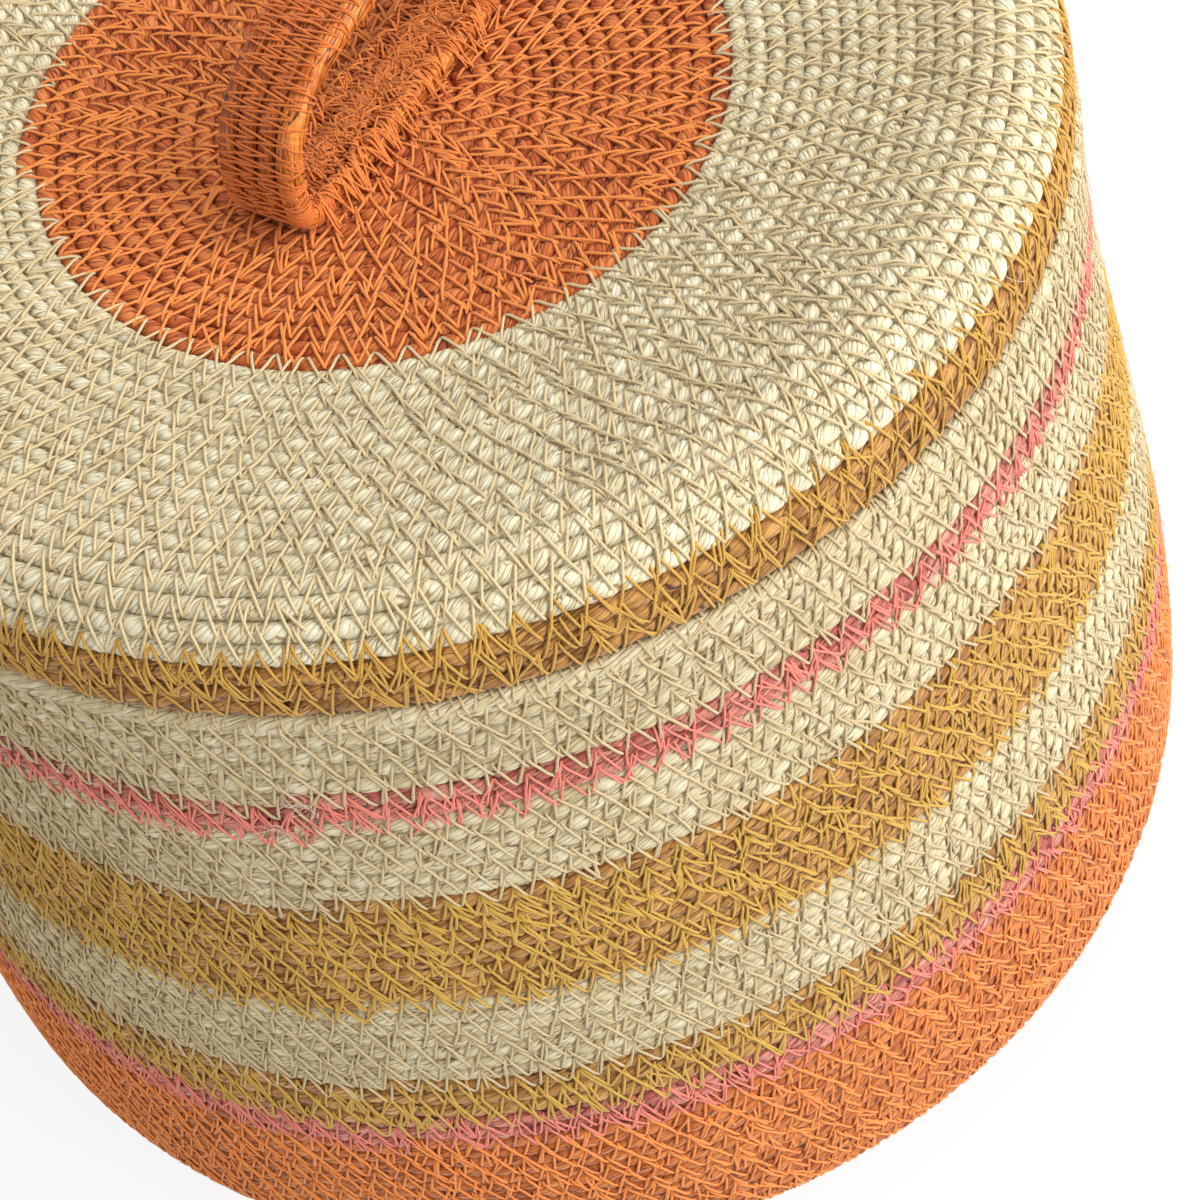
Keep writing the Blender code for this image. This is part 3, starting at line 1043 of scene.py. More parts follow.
@dataclass
class SewnCoil:
    """A coil with its stitches: makes the rows and the seams of a band.

    Attributes:
        coil: the rows.
        outside: the stitches on the show side.
        inside: the stitches on the back.
        seed: for the cord's unevenness.
        spacing: the distance between two stations along the cord.
        press_depth: how far a stitch presses the cord in.
        press_width: how wide that dent is.
        lump: how uneven the patches between two stitches are.
    """

    coil: Coil
    outside: Seam
    inside: Seam
    seed: int
    spacing: float = 0.0008
    press_depth: float = 0.00045
    press_width: float = 0.00060
    lump: float = 0.00030
    OUTER_POINTS = 7
    INNER_POINTS = 4
    SECTION_POWER = 2.35
    # A cord is a little wider than its row, so that the rows press into each other.
    HALF_WIDTH = 0.56
    # How the cord's width, depth and place wander: stations between two values, and their deviation
    WIDTH_WANDER = (14, 0.03)
    DEPTH_WANDER = (11, 0.025)
    SIDE_WANDER = (40, 0.00008)
    OUT_WANDER = (25, 0.00007)
    # A leg's points: how far along it, and how far over its seat as a share of the cord's radius
    OUTSIDE_LEG = ((-0.01, 0.05, 0.24, 0.50, 0.76, 0.95, 1.01), (-0.34, -0.15, 0.0, -0.03, 0.0, -0.15, -0.34))
    INSIDE_LEG = ((-0.03, 0.20, 0.80, 1.03), (-0.36, 0.0, 0.0, -0.36))
    LEG_SEAT = 0.955
    LEG_PROUD = 0.20
    LEG_UNDER = 0.00016
    LEG_BOW = 0.00010
    # Below this share of the full thickness a cord counts as a thin end.
    THIN_END = 0.6
    # Loose fibres: the area for each one, the least and most length, and how far a tip stands off
    FIBRE_AREA = 0.000150
    FIBRE_LENGTH = (0.0025, 0.0070)
    FIBRE_STAND = 0.0011
    # Frayed ends: fibres in a tuft, their least and most length, how far a tip stands off, spread and turn
    TUFT_FIBRES = 26
    TUFT_LENGTH = (0.0014, 0.0042)
    TUFT_STAND = 0.0015
    TUFT_SPREAD = 0.0012
    TUFT_TURN = 0.7

    def cord(self, first: float, last: float) -> Tubes:
        """Makes a length of cord.

        Args:
            first: the turn where it begins.
            last: the turn where it ends.

        Returns:
            One tube.
        """
        rng = dice(self.seed, first)
        coil = self.coil
        turn = coil.even_turns(first, last, self.spacing)
        count = len(turn)
        outer = np.linspace(0.0, math.pi, self.OUTER_POINTS)
        inner = np.linspace(math.pi, FULL_TURN, self.INNER_POINTS + 2)[1:-1]
        angle = np.concatenate([outer, inner])[None, :]
        full = coil.fullness(turn)
        half_width = self.HALF_WIDTH * coil.pitch(turn) * full * (1 + wander(rng, count, *self.WIDTH_WANDER))
        half_depth = 0.5 * CORD_THICKNESS * full * (1 + wander(rng, count, *self.DEPTH_WANDER))
        # A little squarer than round, as the rows press each other flat.
        across = half_width[:, None] * squarish(np.cos(angle), self.SECTION_POWER)
        out = half_depth[:, None] * squarish(np.sin(angle), self.SECTION_POWER)
        middle = coil.distance(turn)
        radius, height = coil.line.point(middle)
        ahead_r, ahead_z = coil.line.ahead(middle)
        press_and_shade, tint = np.zeros_like(across), np.zeros_like(across)
        for near_turn in (turn, turn - 1):
            start, end = self.outside.span(near_turn)
            share = (middle[:, None] + across - start[:, None]) / (end - start)[:, None]
            held = np.clip(share, 0.0, 1.0)
            gap, patch = self.outside.nearest(near_turn[:, None] + 0 * share, held, radius[:, None])
            past = np.abs(share - held) * (end - start)[:, None]
            gap = np.hypot(gap, past)
            press_and_shade = np.maximum(press_and_shade, np.exp(-((gap / self.press_width) ** 2)))
            tint += patch / 2
        facing = smooth_step(np.sin(angle) * 2.5)
        press_and_shade *= facing
        lumps = (tint - 0.5) * self.lump * facing
        thinner = 1 - (self.press_depth * press_and_shade - lumps) / half_depth[:, None]
        # Threads only press the show side. A thin end stays thin.
        thinner = np.where(full[:, None] > self.THIN_END, thinner, 1.0)
        across = across * (1 + (thinner - 1) * 0.5)
        out = out * thinner
        # The cord's own wander keeps the rows from looking turned.
        across = across + wander(rng, count, *self.SIDE_WANDER)[:, None]
        out = out + wander(rng, count, *self.OUT_WANDER)[:, None]
        out_r = ahead_r[:, None] * across - ahead_z[:, None] * out
        out_z = ahead_z[:, None] * across + ahead_r[:, None] * out
        points = coil.offset(turn[:, None], radius[:, None], height[:, None], out_r, out_z)
        # The distance along the cord is measured on the crest of its show side.
        run = run_along(points[:, self.OUTER_POINTS // 2])
        girth = math.pi * (float(np.mean(coil.pitch(turn))) + CORD_THICKNESS) / 2
        cut = max(8, round(20 * girth / self.spacing))
        # Painted shade for the colour: the groove where the cord meets the next row, and the dents that
        # stitches press in.
        groove_shade = 1 - smooth_step((np.sin(angle) - 0.05) * 2.2)
        dark = np.maximum(press_and_shade * 0.8, 0.9 * groove_shade * np.ones_like(press_and_shade))
        return Tubes(points[None], run[None], girth, tint[None], dark[None], cut)

    def thread(self, first: float, last: float, width: float, extra: float, face: Face) -> Tubes:
        """Makes the seam's thread between two turns of the nearer row.

        Args:
            first: the first turn.
            last: the last turn.
            width: the thread's width.
            extra: how many more legs lie beside each one.
            face: the side that it lies on.

        Returns:
            One tube for each leg.
        """
        outside = face is Face.OUTSIDE
        seam = self.outside if outside else self.inside
        share, rise = (np.array(x) for x in (self.OUTSIDE_LEG if outside else self.INSIDE_LEG))
        sides = 5 if outside else 3
        legs = seam.legs(first, last, extra if outside else 0.0)
        rng = dice(self.seed, first, sides)
        near, far, under = (legs[key][:, None] for key in ("near", "far", "under"))
        turn = near + (far - near) * share
        start, end = seam.span(turn)
        slip = legs["near_slip"][:, None] * (1 - share) + legs["far_slip"][:, None] * share
        # A leg bows a little, by up to a fifth of a millimetre.
        bow = rng.normal(0.0, self.LEG_BOW, (len(near), 1)) * np.sin(math.pi * np.clip(share, 0, 1))
        turn = turn + bow / self.coil.round_length(turn)
        distance = start + (end - start) * share + slip * self.coil.pitch(turn)
        full = np.minimum(self.coil.fullness(turn), self.coil.fullness(turn + 1))
        seat = 0.5 * CORD_THICKNESS * (self.LEG_SEAT + rise)
        height = seat + self.LEG_PROUD * width - self.LEG_UNDER * under
        height = height * np.where(full < self.THIN_END, 0.75, 1.0)
        points = self.coil.placed(turn, distance, height * face.value)
        skin = self.coil.placed(turn, distance, (height + 0.001) * face.value)
        return thread_tubes(points, skin, width, sides, legs["shade"])

    def sew(
        self,
        bench: Bench,
        band: Band,
        first: float,
        last: float,
        cords: dict[Dye, SeagrassCord],
        thread_shift: int,
    ) -> None:
        """Makes the pieces of one band.

        Args:
            bench: takes the pieces.
            band: the dyed length.
            first: the turn where it begins.
            last: the turn where it ends.
            cords: the cord finish of each dye.
            thread_shift: 0 where a row's thread reaches on to the next row, 1 where it reaches back.
        """
        name = band.node
        bench.add(f"{name}_cord", self.cord(first, last), cords[band.dye].material(), band.dye, name)
        finish = OWN_THREADS.get(name, THREADS[band.dye])
        legs_from, legs_to = first - thread_shift, last - thread_shift
        for face, label in ((Face.OUTSIDE, "thread"), (Face.INSIDE, "inside_thread")):
            legs = self.thread(legs_from, legs_to, finish.width, finish.extra, face)
            bench.add(f"{name}_{label}", legs, finish.material(), band.dye)
        if name in HIDDEN_SPACING:
            return
        loose = LOOSE_FIBRE if band.dye is Dye.NATURAL else finish
        bench.add(f"{name}_fibre", self.loose_fibres(first, last), loose.material(), band.dye)
        if name == "upper_pink_band":
            bench.add(f"{name}_frayed", self.frayed_ends(first, last), FRAYED_FIBRE.material(), band.dye)

    def loose_fibres(self, first: float, last: float) -> Tubes:
        """Makes the fine fibres that stand off the show side, about one to every 150 square millimetres.

        Args:
            first: the turn where they begin.
            last: the turn where they end.

        Returns:
            One tube for each fibre.
        """
        rng = dice(self.seed, first, 7)
        step = 0.001
        places = self.coil.even_turns(first, last, step)
        area = len(places) * step * float(np.mean(self.coil.pitch(places)))
        count = max(10, int(area / self.FIBRE_AREA))
        turn = rng.choice(places, count)[:, None]
        heading = rng.uniform(0, FULL_TURN, (count, 1))
        length = rng.uniform(*self.FIBRE_LENGTH, (count, 1))
        return self.fibres(turn, heading, length, self.FIBRE_STAND, rng)

    def frayed_ends(self, first: float, last: float) -> Tubes:
        """Makes the tufts where a dyed length begins and ends: short fibres that fan out along the row.

        Args:
            first: the turn where it begins.
            last: the turn where it ends.

        Returns:
            One tube for each fibre.
        """
        rng = dice(self.seed, first, 9)
        size = (2 * self.TUFT_FIBRES, 1)
        around = FULL_TURN * float(self.coil.radius(np.array(first)))
        spread = rng.normal(0.0, self.TUFT_SPREAD, size) / around
        turn = np.repeat([[first + 0.004], [last - 0.004]], self.TUFT_FIBRES, axis=0) + spread
        heading = rng.normal(0.0, self.TUFT_TURN, size) + math.pi * (rng.random(size) < 0.5)
        length = rng.uniform(*self.TUFT_LENGTH, size)
        return self.fibres(turn, heading, length, self.TUFT_STAND, rng)

    def fibres(
        self,
        turn: np.ndarray,
        heading: np.ndarray,
        length: np.ndarray,
        reach: float,
        rng: np.random.Generator,
    ) -> Tubes:
        """Makes fine fibres that curl up from the show side.

        Args:
            turn: where each one begins.
            heading: its direction, from along the row.
            length: its length.
            reach: how far a tip stands off at most.
            rng: for unevenness.

        Returns:
            One tube for each fibre.
        """
        count = len(turn)
        share = np.linspace(0.0, 1.0, 5)
        curl = rng.normal(0.0, 0.9, (count, 1)) * share
        round_length = self.coil.round_length(turn, 0.01)
        distance = self.coil.distance(turn) + length * share * np.sin(heading + curl)
        turn = turn + length * share * np.cos(heading + curl) / round_length
        lift = rng.uniform(0.0001, reach, (count, 1)) * share**2
        height = CORD_THICKNESS / 2 + lift
        points = self.coil.placed(turn, distance, height)
        skin = self.coil.placed(turn, distance, height + 0.001)
        return thread_tubes(points, skin, LOOSE_FIBRE.width, 3, rng.random(count))


def thread_tubes(points: np.ndarray, skin: np.ndarray, width: float, sides: int, shade: np.ndarray) -> Tubes:
    """Makes a tube along each row of points.

    Args:
        points: the middle of each tube, by tube and station.
        skin: the same points moved away from the surface that the thread lies on.
        width: the thread's width.
        sides: how many points go around.
        shade: a tint for each tube.

    Returns:
        The tubes.
    """
    ahead = np.gradient(points, axis=1)
    ahead /= np.linalg.norm(ahead, axis=2)[..., None]
    away = skin - points
    side = np.cross(ahead, away)
    side /= np.linalg.norm(side, axis=2)[..., None]
    up = np.cross(side, ahead)
    angle = np.arange(sides) * FULL_TURN / sides + math.pi / 2
    half = width / 2
    ring = (
        side[:, :, None] * (half * np.cos(angle))[None, None, :, None]
        + up[:, :, None] * (0.9 * half * np.sin(angle))[None, None, :, None]
    )
    rings = points[:, :, None] + ring
    steps = np.linalg.norm(np.diff(points, axis=1), axis=2)
    run = np.concatenate([np.zeros((len(points), 1)), np.cumsum(steps, axis=1)], axis=1)
    run += shade[:, None] * 0.01
    tint = np.broadcast_to(shade[:, None, None], rings.shape[:3])
    return Tubes(rings, run, math.pi * width, tint, np.zeros(rings.shape[:3]), points.shape[1] - 1)


@dataclass
class Outlines:
    """The lines of the basket, as in the part's source.

    Attributes:
        sizes: what the frame gives.
    """

    sizes: Sizes

    def neck_radius(self) -> float:
        """The neck's outer radius, clear of the lid's inside."""
        over = max(self.sizes.neck_top - self.sizes.rim_height - LID_SKIRT, 0.0)
        round_inside = LID_SHOULDER_RADIUS - CORD_THICKNESS
        centre = self.sizes.lid_radius - LID_SHOULDER_RADIUS
        return centre + math.sqrt(round_inside**2 - over**2) - NECK_CLEARANCE

    def wall(self) -> np.ndarray:
        """The outside of the wall, from under the ledge down and round to the base's edge."""
        rim = self.sizes.rim_height
        mouth = self.sizes.lid_radius + MOUTH_MARGIN
        height = np.arange(rim - LID_SEAT_GAP - LEDGE_DROP, BELLY_HEIGHT, -OUTLINE_STEP)
        share = (rim - height) / (rim - BELLY_HEIGHT)
        radius = mouth + (self.sizes.belly_radius - mouth) * smooth_step(share)
        edge_width = self.sizes.belly_radius - BASE_RADIUS
        angle = np.linspace(0.0, math.pi / 2, round(edge_width / OUTLINE_STEP))
        out, down = squarish(np.cos(angle), BASE_EDGE_POWER), squarish(np.sin(angle), BASE_EDGE_POWER)
        edge = np.column_stack([BASE_RADIUS + edge_width * out, BELLY_HEIGHT * (1 - down)])
        return np.vstack([np.column_stack([radius, height]), edge])

    def dish_height(self, radius: np.ndarray) -> np.ndarray:
        """The middle of the lid's top, above the rim."""
        crown = LID_SHOULDER_RADIUS * math.cos(LID_DISH_ANGLE) + LID_SKIRT
        crown_radius = self.sizes.lid_radius - LID_SHOULDER_RADIUS * (1 + math.sin(LID_DISH_ANGLE))
        edge = crown - (crown_radius - LID_DISC_RADIUS) * math.tan(LID_DISH_ANGLE)
        return LID_CENTRE_HEIGHT + (edge - LID_CENTRE_HEIGHT) * (radius / LID_DISC_RADIUS) ** 2

    def lid(self) -> np.ndarray:
        """From the middle of the dished top out over the shoulder and down the skirt."""
        radii = np.append(np.arange(0.0, LID_DISC_RADIUS, OUTLINE_STEP), LID_DISC_RADIUS)
        dish = np.column_stack([radii, self.dish_height(radii)])
        centre = (self.sizes.lid_radius - LID_SHOULDER_RADIUS, LID_SKIRT)
        shoulder = arc(centre, LID_SHOULDER_RADIUS, math.pi / 2 + LID_DISH_ANGLE, 0.0)
        count = round(np.linalg.norm(shoulder[0] - dish[-1]) / OUTLINE_STEP)
        crown = dish[-1] + (shoulder[0] - dish[-1]) * np.linspace(0, 1, count)[1:-1, None]
        skirt = np.column_stack([np.full(15, self.sizes.lid_radius), np.linspace(LID_SKIRT, 0.0, 16)[1:]])
        points = np.vstack([dish, crown, shoulder, skirt])
        points[:, 1] += self.sizes.rim_height
        return points


@dataclass
class Basket:
    """The body: one coil from the neck down the striped wall to the middle of the base.

    Attributes:
        outlines: the basket's lines.
        neck_rows: rows on the neck, the ledge and just under it.
        stripes: CAD node, rows, height of a row and dye, from the ledge down.
        colour_angle: where each stripe begins, in degrees.
    """

    outlines: Outlines
    neck_rows: int = 6
    colour_angle: float = -157.0
    stripes: tuple = (
        ("upper_natural_band", 4, 0.00475, Dye.NATURAL),
        ("upper_pink_band", 2, 0.00430, Dye.PINK),
        ("middle_natural_band", 6, 0.00417, Dye.NATURAL),
        ("wide_mustard_band", 9, 0.00372, Dye.MUSTARD),
        ("lower_natural_band", 7, 0.00403, Dye.NATURAL),
        ("narrow_mustard_band", 3, 0.00477, Dye.MUSTARD),
        ("lower_pink_band", 2, 0.00440, Dye.PINK),
        ("orange_wall", 0, CORD_PITCH, Dye.ORANGE),
    )
    # The share of a turn by which the cord ends short of the base's very middle
    CENTRE_END = 0.10

    def centre_line(self) -> tuple[CentreLine, list[Band]]:
        """The middle of the cord from the neck's top to the middle of the base, and the bands on it.

        Returns:
            The line and the bands.
        """
        sizes = self.outlines.sizes
        half = CORD_THICKNESS / 2
        ledge = sizes.rim_height - LID_SEAT_GAP
        neck = self.outlines.neck_radius() - half
        mouth = sizes.lid_radius + MOUTH_MARGIN - half
        corners = np.array(
            [(neck, sizes.neck_top), (neck, ledge - half), (mouth, ledge - half), (mouth, ledge - LEDGE_DROP)]
        )
        wall = self.outlines.wall()
        middle = moved_in(wall, half)
        neck_length = run_along(corners)[-1]
        line = CentreLine(np.vstack([corners, middle, [(0.0, half)]]))
        wall_run = run_along(wall)
        middle_run = run_along(middle) + neck_length + np.linalg.norm(middle[0] - corners[-1])
        bands = [Band("neck_ring", self.neck_rows, neck_length, Dye.NATURAL)]
        start = 0.0
        for node, rows, pitch, dye in self.stripes:
            end = start + rows * pitch if rows else wall_run[-1]
            rows = rows or round((end - start) / pitch)
            bands.append(Band(node, rows, float(np.interp(end, wall_run, middle_run)), dye))
            start = end
        bands.append(Band("base_disc", round(BASE_RADIUS / CORD_PITCH), line.length, Dye.ORANGE))
        return line, bands

    def build(self) -> Bench:
        """Makes every band of the body.

        Returns:
            The bench with its pieces.
        """
        line, bands = self.centre_line()
        rows = sum(band.rows for band in bands)
        coil = WallCoil(line, tuple(bands), math.radians(self.colour_angle), 0.0, rows - self.CENTRE_END)
        first_stitch, last_stitch = 0.02, rows - 1.4
        outside = Seam(coil, StitchPattern(), first_stitch, last_stitch, seed=11)
        inside = Seam(coil, StitchPattern(down_share=0.5), first_stitch, last_stitch, seed=12)
        bench = Bench("basket")
        first = 0.0
        for band in bands:
            last = min(first + band.rows, coil.last)
            spacing = HIDDEN_SPACING.get(band.node, SewnCoil.spacing)
            sewn = SewnCoil(coil, outside, inside, seed=21, spacing=spacing)
            sewn.sew(bench, band, first, last, CORDS, 0)
            first = last
        return bench


@dataclass
class Lid:
    """The lid: one coil from the middle of the dish out over the shoulder to the rim.

    Attributes:
        outlines: the basket's lines.
        colour_angle: where a dyed length begins, in degrees.
    """

    outlines: Outlines
    colour_angle: float = 129.0
    # The share of a turn at which the cord starts out from the lid's very middle
    CENTRE_START = 0.10

    def build(self) -> Bench:
        """Makes the bands of the lid.

        Returns:
            The bench with its pieces.
        """
        outside = self.outlines.lid()
        middle = moved_in(outside, CORD_THICKNESS / 2)
        middle[:, 0] = np.maximum(middle[:, 0], 0.0)
        outside_run, middle_run = run_along(outside), run_along(middle)
        line = CentreLine(middle)
        disc_end = float(outside_run[np.searchsorted(outside[:, 0], LID_DISC_RADIUS)])
        rim_start = outside_run[-1] - LID_RIM_ROWS * LID_RIM_PITCH
        bands = []
        start = 0.0
        for node, end, rows, dye in (
            ("lid_centre_disc", disc_end, 0, Dye.ORANGE),
            ("lid_crown", rim_start, 0, Dye.NATURAL),
            ("lid_rim_band", outside_run[-1], LID_RIM_ROWS, Dye.MUSTARD),
        ):
            rows = rows or round((end - start) / CORD_PITCH)
            bands.append(Band(node, rows, float(np.interp(end, outside_run, middle_run)), dye))
            start = end
        rows = sum(band.rows for band in bands)
        coil = LidCoil(line, tuple(bands), math.radians(self.colour_angle), self.CENTRE_START, rows)
        pattern = StitchPattern(down_share=0.56, edge_reach=0.18)
        first_stitch, last_stitch = 0.5, rows - 1.005
        outer = Seam(coil, pattern, first_stitch, last_stitch, seed=31)
        inner = Seam(coil, StitchPattern(down_share=0.5), first_stitch, last_stitch, seed=32)
        bench = Bench("lid")
        sewn = SewnCoil(coil, outer, inner, seed=41, spacing=0.0007, press_depth=0.00050, lump=0.00042)
        ends = np.cumsum([band.rows for band in bands]).astype(float)
        for band, first, last in zip(bands, [coil.first, *ends], ends):
            sewn.sew(bench, band, float(first), float(last), LID_CORDS, 1)
        return bench


@dataclass(frozen=True)
class StrapPath:
    """The middle of the strap, read by the distance along it.

    Attributes:
        route: x and z of each point, close together.
        out: the outward direction at each point.
        run: the distance along the route at each point.
    """

    route: np.ndarray
    out: np.ndarray
    run: np.ndarray

    @classmethod
    def along(cls, route: np.ndarray) -> "StrapPath":
        """Works out the outward directions and the distances of a closed route.

        Args:
            route: x and z of each point, the last one in the first one's place.

        Returns:
            The path.
        """
        ahead = np.gradient(route, axis=0)
        ahead[0] = ahead[-1] = (ahead[0] + ahead[-1]) / 2
        ahead /= np.linalg.norm(ahead, axis=1)[:, None]
        return cls(route, np.column_stack([ahead[:, 1], -ahead[:, 0]]), run_along(route))

    def placed(self, place: np.ndarray, y: np.ndarray, height: np.ndarray) -> np.ndarray:
        """Points by the distance along the strap, the place across it and the height over its middle."""
        x, z = (np.interp(place, self.run, self.route[:, i]) for i in (0, 1))
        out_x, out_z = (np.interp(place, self.run, self.out[:, i]) for i in (0, 1))
        return np.stack([x + out_x * height, y, z + out_z * height], axis=-1)


@dataclass
class HandleStrap:
    """The handle: a cord laid round a D four times, sewn flat into a strap and down to the lid.

    Attributes:
        outlines: the basket's lines.
        spacing: the distance between two stations along a cord.
    """

    outlines: Outlines
    spacing: float = 0.0006
    SECTION_POWER = 2.9
    # Half a cord's width as a share of its pitch, and half its depth as a share of its thickness
    HALF_WIDTH = 0.52
    HALF_DEPTH = 0.47
    STITCH_PERIOD = 0.0025
    # How unevenly stitches lie, as a share of a stitch along and of a cord across, and how far one stands off
    STITCH_SCATTER = 0.10
    STITCH_SLIP = 0.12
    STITCH_LIFT = 0.00030
    # How far past a cord's middle a stitch reaches, as a share of a cord
    STITCH_REACH = 0.36
    # A leg's points: how far along it, and how far over the cord as a share of its radius
    LEG = ((-0.01, 0.06, 0.26, 0.50, 0.74, 0.94, 1.01), (-0.30, -0.10, 0.02, 0.0, 0.02, -0.10, -0.30))
    EDGE_STITCHES = 260
    # How closely they lie at the folds and elsewhere
    EDGE_WEIGHTS = (0.6, 0.10)
    # The foot's stitches, in passes: their least and most length and reach, and how unevenly they lie
    FOOT_PASSES = 44
    FOOT_PERIOD = (0.0016, 0.0042)
    FOOT_REACH = (0.0007, 0.0030)
    FOOT_SCATTER = 0.0013
    FOOT_WANDER = (10, 0.0016)
    FOOT_LIFT = 0.0009
    # A pass that comes out no longer than this runs along nearly the whole foot instead.
    SHORTEST_PASS = 0.012
    # The same for a leg on the foot, with its height in metres
    FOOT_LEG = (
        (-0.01, 0.10, 0.32, 0.55, 0.78, 0.94, 1.01),
        (-0.0008, -0.0001, 0.0002, 0.0003, 0.0002, -0.0001, -0.0008),
    )

    def route(self) -> np.ndarray:
        """The middle of the strap, a closed D in the XZ plane.

        Returns:
            Evenly spaced x and z, the last point next to the first.
        """
        sizes = self.outlines.sizes
        centre = sizes.rim_height + LID_CENTRE_HEIGHT
        half = sizes.handle_length / 2 - CORD_THICKNESS / 2
        bend = HANDLE_FOOT_BEND

        def foot_height(across: np.ndarray) -> np.ndarray:
            """The height of the foot's middle over the lid's middle."""
            dish = self.outlines.dish_height(np.abs(across)) - LID_CENTRE_HEIGHT
            return dish + HANDLE_SEAT_GAP + CORD_THICKNESS / 2

        leg_start = float(foot_height(np.array(half - bend))) + bend
        rise = sizes.handle_top - centre - CORD_THICKNESS / 2 - leg_start
        angle = np.linspace(0.0, math.pi, 400)
        arch_x = half * squarish(np.cos(angle), HANDLE_ARCH_POWER)
        arch = np.column_stack([arch_x, leg_start + rise * squarish(np.sin(angle), HANDLE_ARCH_POWER)])
        turn = np.linspace(0.0, math.pi / 2, 20)[1:-1]
        corner = np.column_stack([half - bend * (1 - np.cos(turn)), leg_start - bend * np.sin(turn)])
        across = np.linspace(bend - half, half - bend, 60)
        foot = np.column_stack([across, foot_height(across)])
        points = np.vstack([arch, corner * (-1, 1), foot, corner[::-1], arch[:1]])
        points[:, 1] += centre
        run = run_along(points)
        count = round(run[-1] / self.spacing)
        even = np.linspace(0.0, run[-1], count + 1)
        return np.column_stack([np.interp(even, run, points[:, i]) for i in (0, 1)])

    def build(self) -> Bench:
        """Makes the cords and the stitches of the strap.

        Returns:
            The bench with its pieces.
        """
        rng = np.random.default_rng(51)
        path = StrapPath.along(self.route())
        bench = Bench("lid")
        for name, which, cord in (
            ("handle_edge_cord", (0,), BARE_STRAP_CORD),
            ("handle_cord", tuple(range(1, HANDLE_CORDS)), STRAP_CORD),
        ):
            bench.add(name, self.cords(path, rng, which), cord.material(), Dye.ORANGE, "handle_strap")
        for name, legs, thread in (
            ("handle_thread", self.cross_stitches(path, rng), STRAP_THREAD),
            ("handle_edge_thread", self.edge_stitches(path, rng), STRAP_THREAD),
            ("handle_foot_thread", self.foot_stitches(rng), FOOT_THREAD),
        ):
            bench.add(name, legs, thread.material(), Dye.ORANGE)
        return bench

    def cords(self, path: StrapPath, rng: np.random.Generator, which: tuple[int, ...]) -> Tubes:
        """Lays cords round the D, side by side.

        Args:
            path: the strap's middle.
            rng: for unevenness.
            which: the numbers of the cords, from the -Y edge.

        Returns:
            One tube for each cord.
        """
        count, ease = len(path.route), 20
        angle = np.linspace(0.0, FULL_TURN, 13)[:-1]
        rings = []
        for cord in which:
            middle = (cord + 0.5 - HANDLE_CORDS / 2) * HANDLE_CORD_PITCH
            grow = 1 + wander(rng, count, 9, 0.04)
            grow[-ease:] += (grow[0] - grow[-1]) * np.linspace(0, 1, ease)
            wide = np.outer(grow, squarish(np.cos(angle), self.SECTION_POWER))
            across = middle + self.HALF_WIDTH * HANDLE_CORD_PITCH * wide
            deep = np.outer(grow, squarish(np.sin(angle), self.SECTION_POWER))
            rise = self.HALF_DEPTH * CORD_THICKNESS * deep
            x, z = (path.route[:, i : i + 1] + path.out[:, i : i + 1] * rise for i in (0, 1))
            rings.append(np.stack([x, across, z], axis=-1))
        rings = np.array(rings)
        tint = rng.random(rings.shape[:2])[..., None] * np.ones(rings.shape[:3])
        # Painted shade in the grooves where the cord meets its neighbours.
        groove_shade = 1 - smooth_step((np.abs(np.sin(angle)) - 0.05) * 2.2)
        dark = np.broadcast_to(0.7 * groove_shade, rings.shape[:3])
        run = np.tile(path.run, (len(rings), 1))
        return Tubes(rings, run, math.pi * HANDLE_CORD_PITCH, tint, dark, 100)

    def cross_stitches(self, path: StrapPath, rng: np.random.Generator) -> Tubes:
        """The zig-zags that hold the strap's cords together, on both faces, close and nearly straight across.

        Args:
            path: the strap's middle.
            rng: for unevenness.

        Returns:
            One tube for each leg.
        """
        places, skins, shades = [], [], []
        share, rise = (np.array(x) for x in self.LEG)
        step = self.STITCH_PERIOD
        count = int(path.run[-1] / step)
        for pair in range(HANDLE_CORDS - 1):
            for face in (1, -1):
                near = (np.arange(count) + rng.normal(0, self.STITCH_SCATTER, count)) * step
                far = near + step * 0.5 + rng.normal(0, 0.0003, count)
                low_slip, high_slip = rng.normal(0, self.STITCH_SLIP, (2, count))
                for start, slips in ((near, low_slip), (np.roll(near, -1), np.roll(low_slip, -1))):
                    start, end = start[:-1, None], far[:-1, None]
                    place = (start + (end - start) * share) % path.run[-1]
                    low = pair + 0.5 - HANDLE_CORDS / 2 - self.STITCH_REACH + slips[:-1, None] * (1 - share)
                    high = pair + 1.5 - HANDLE_CORDS / 2 + self.STITCH_REACH + high_slip[:-1, None] * share
                    y = (low + (high - low) * share) * HANDLE_CORD_PITCH
                    lift = rng.random((count - 1, 1)) * self.STITCH_LIFT
                    height = face * (self.HALF_DEPTH * CORD_THICKNESS * (1 + rise) + 0.00005 + lift)
                    places.append(path.placed(place, y, height))
                    skins.append(path.placed(place, y, height + face * 0.001))
                    shades.append(rng.random(count - 1))
        points, skin, shade = (np.concatenate(x) for x in (places, skins, shades))
        return thread_tubes(points, skin, STRAP_THREAD.width, 5, shade)

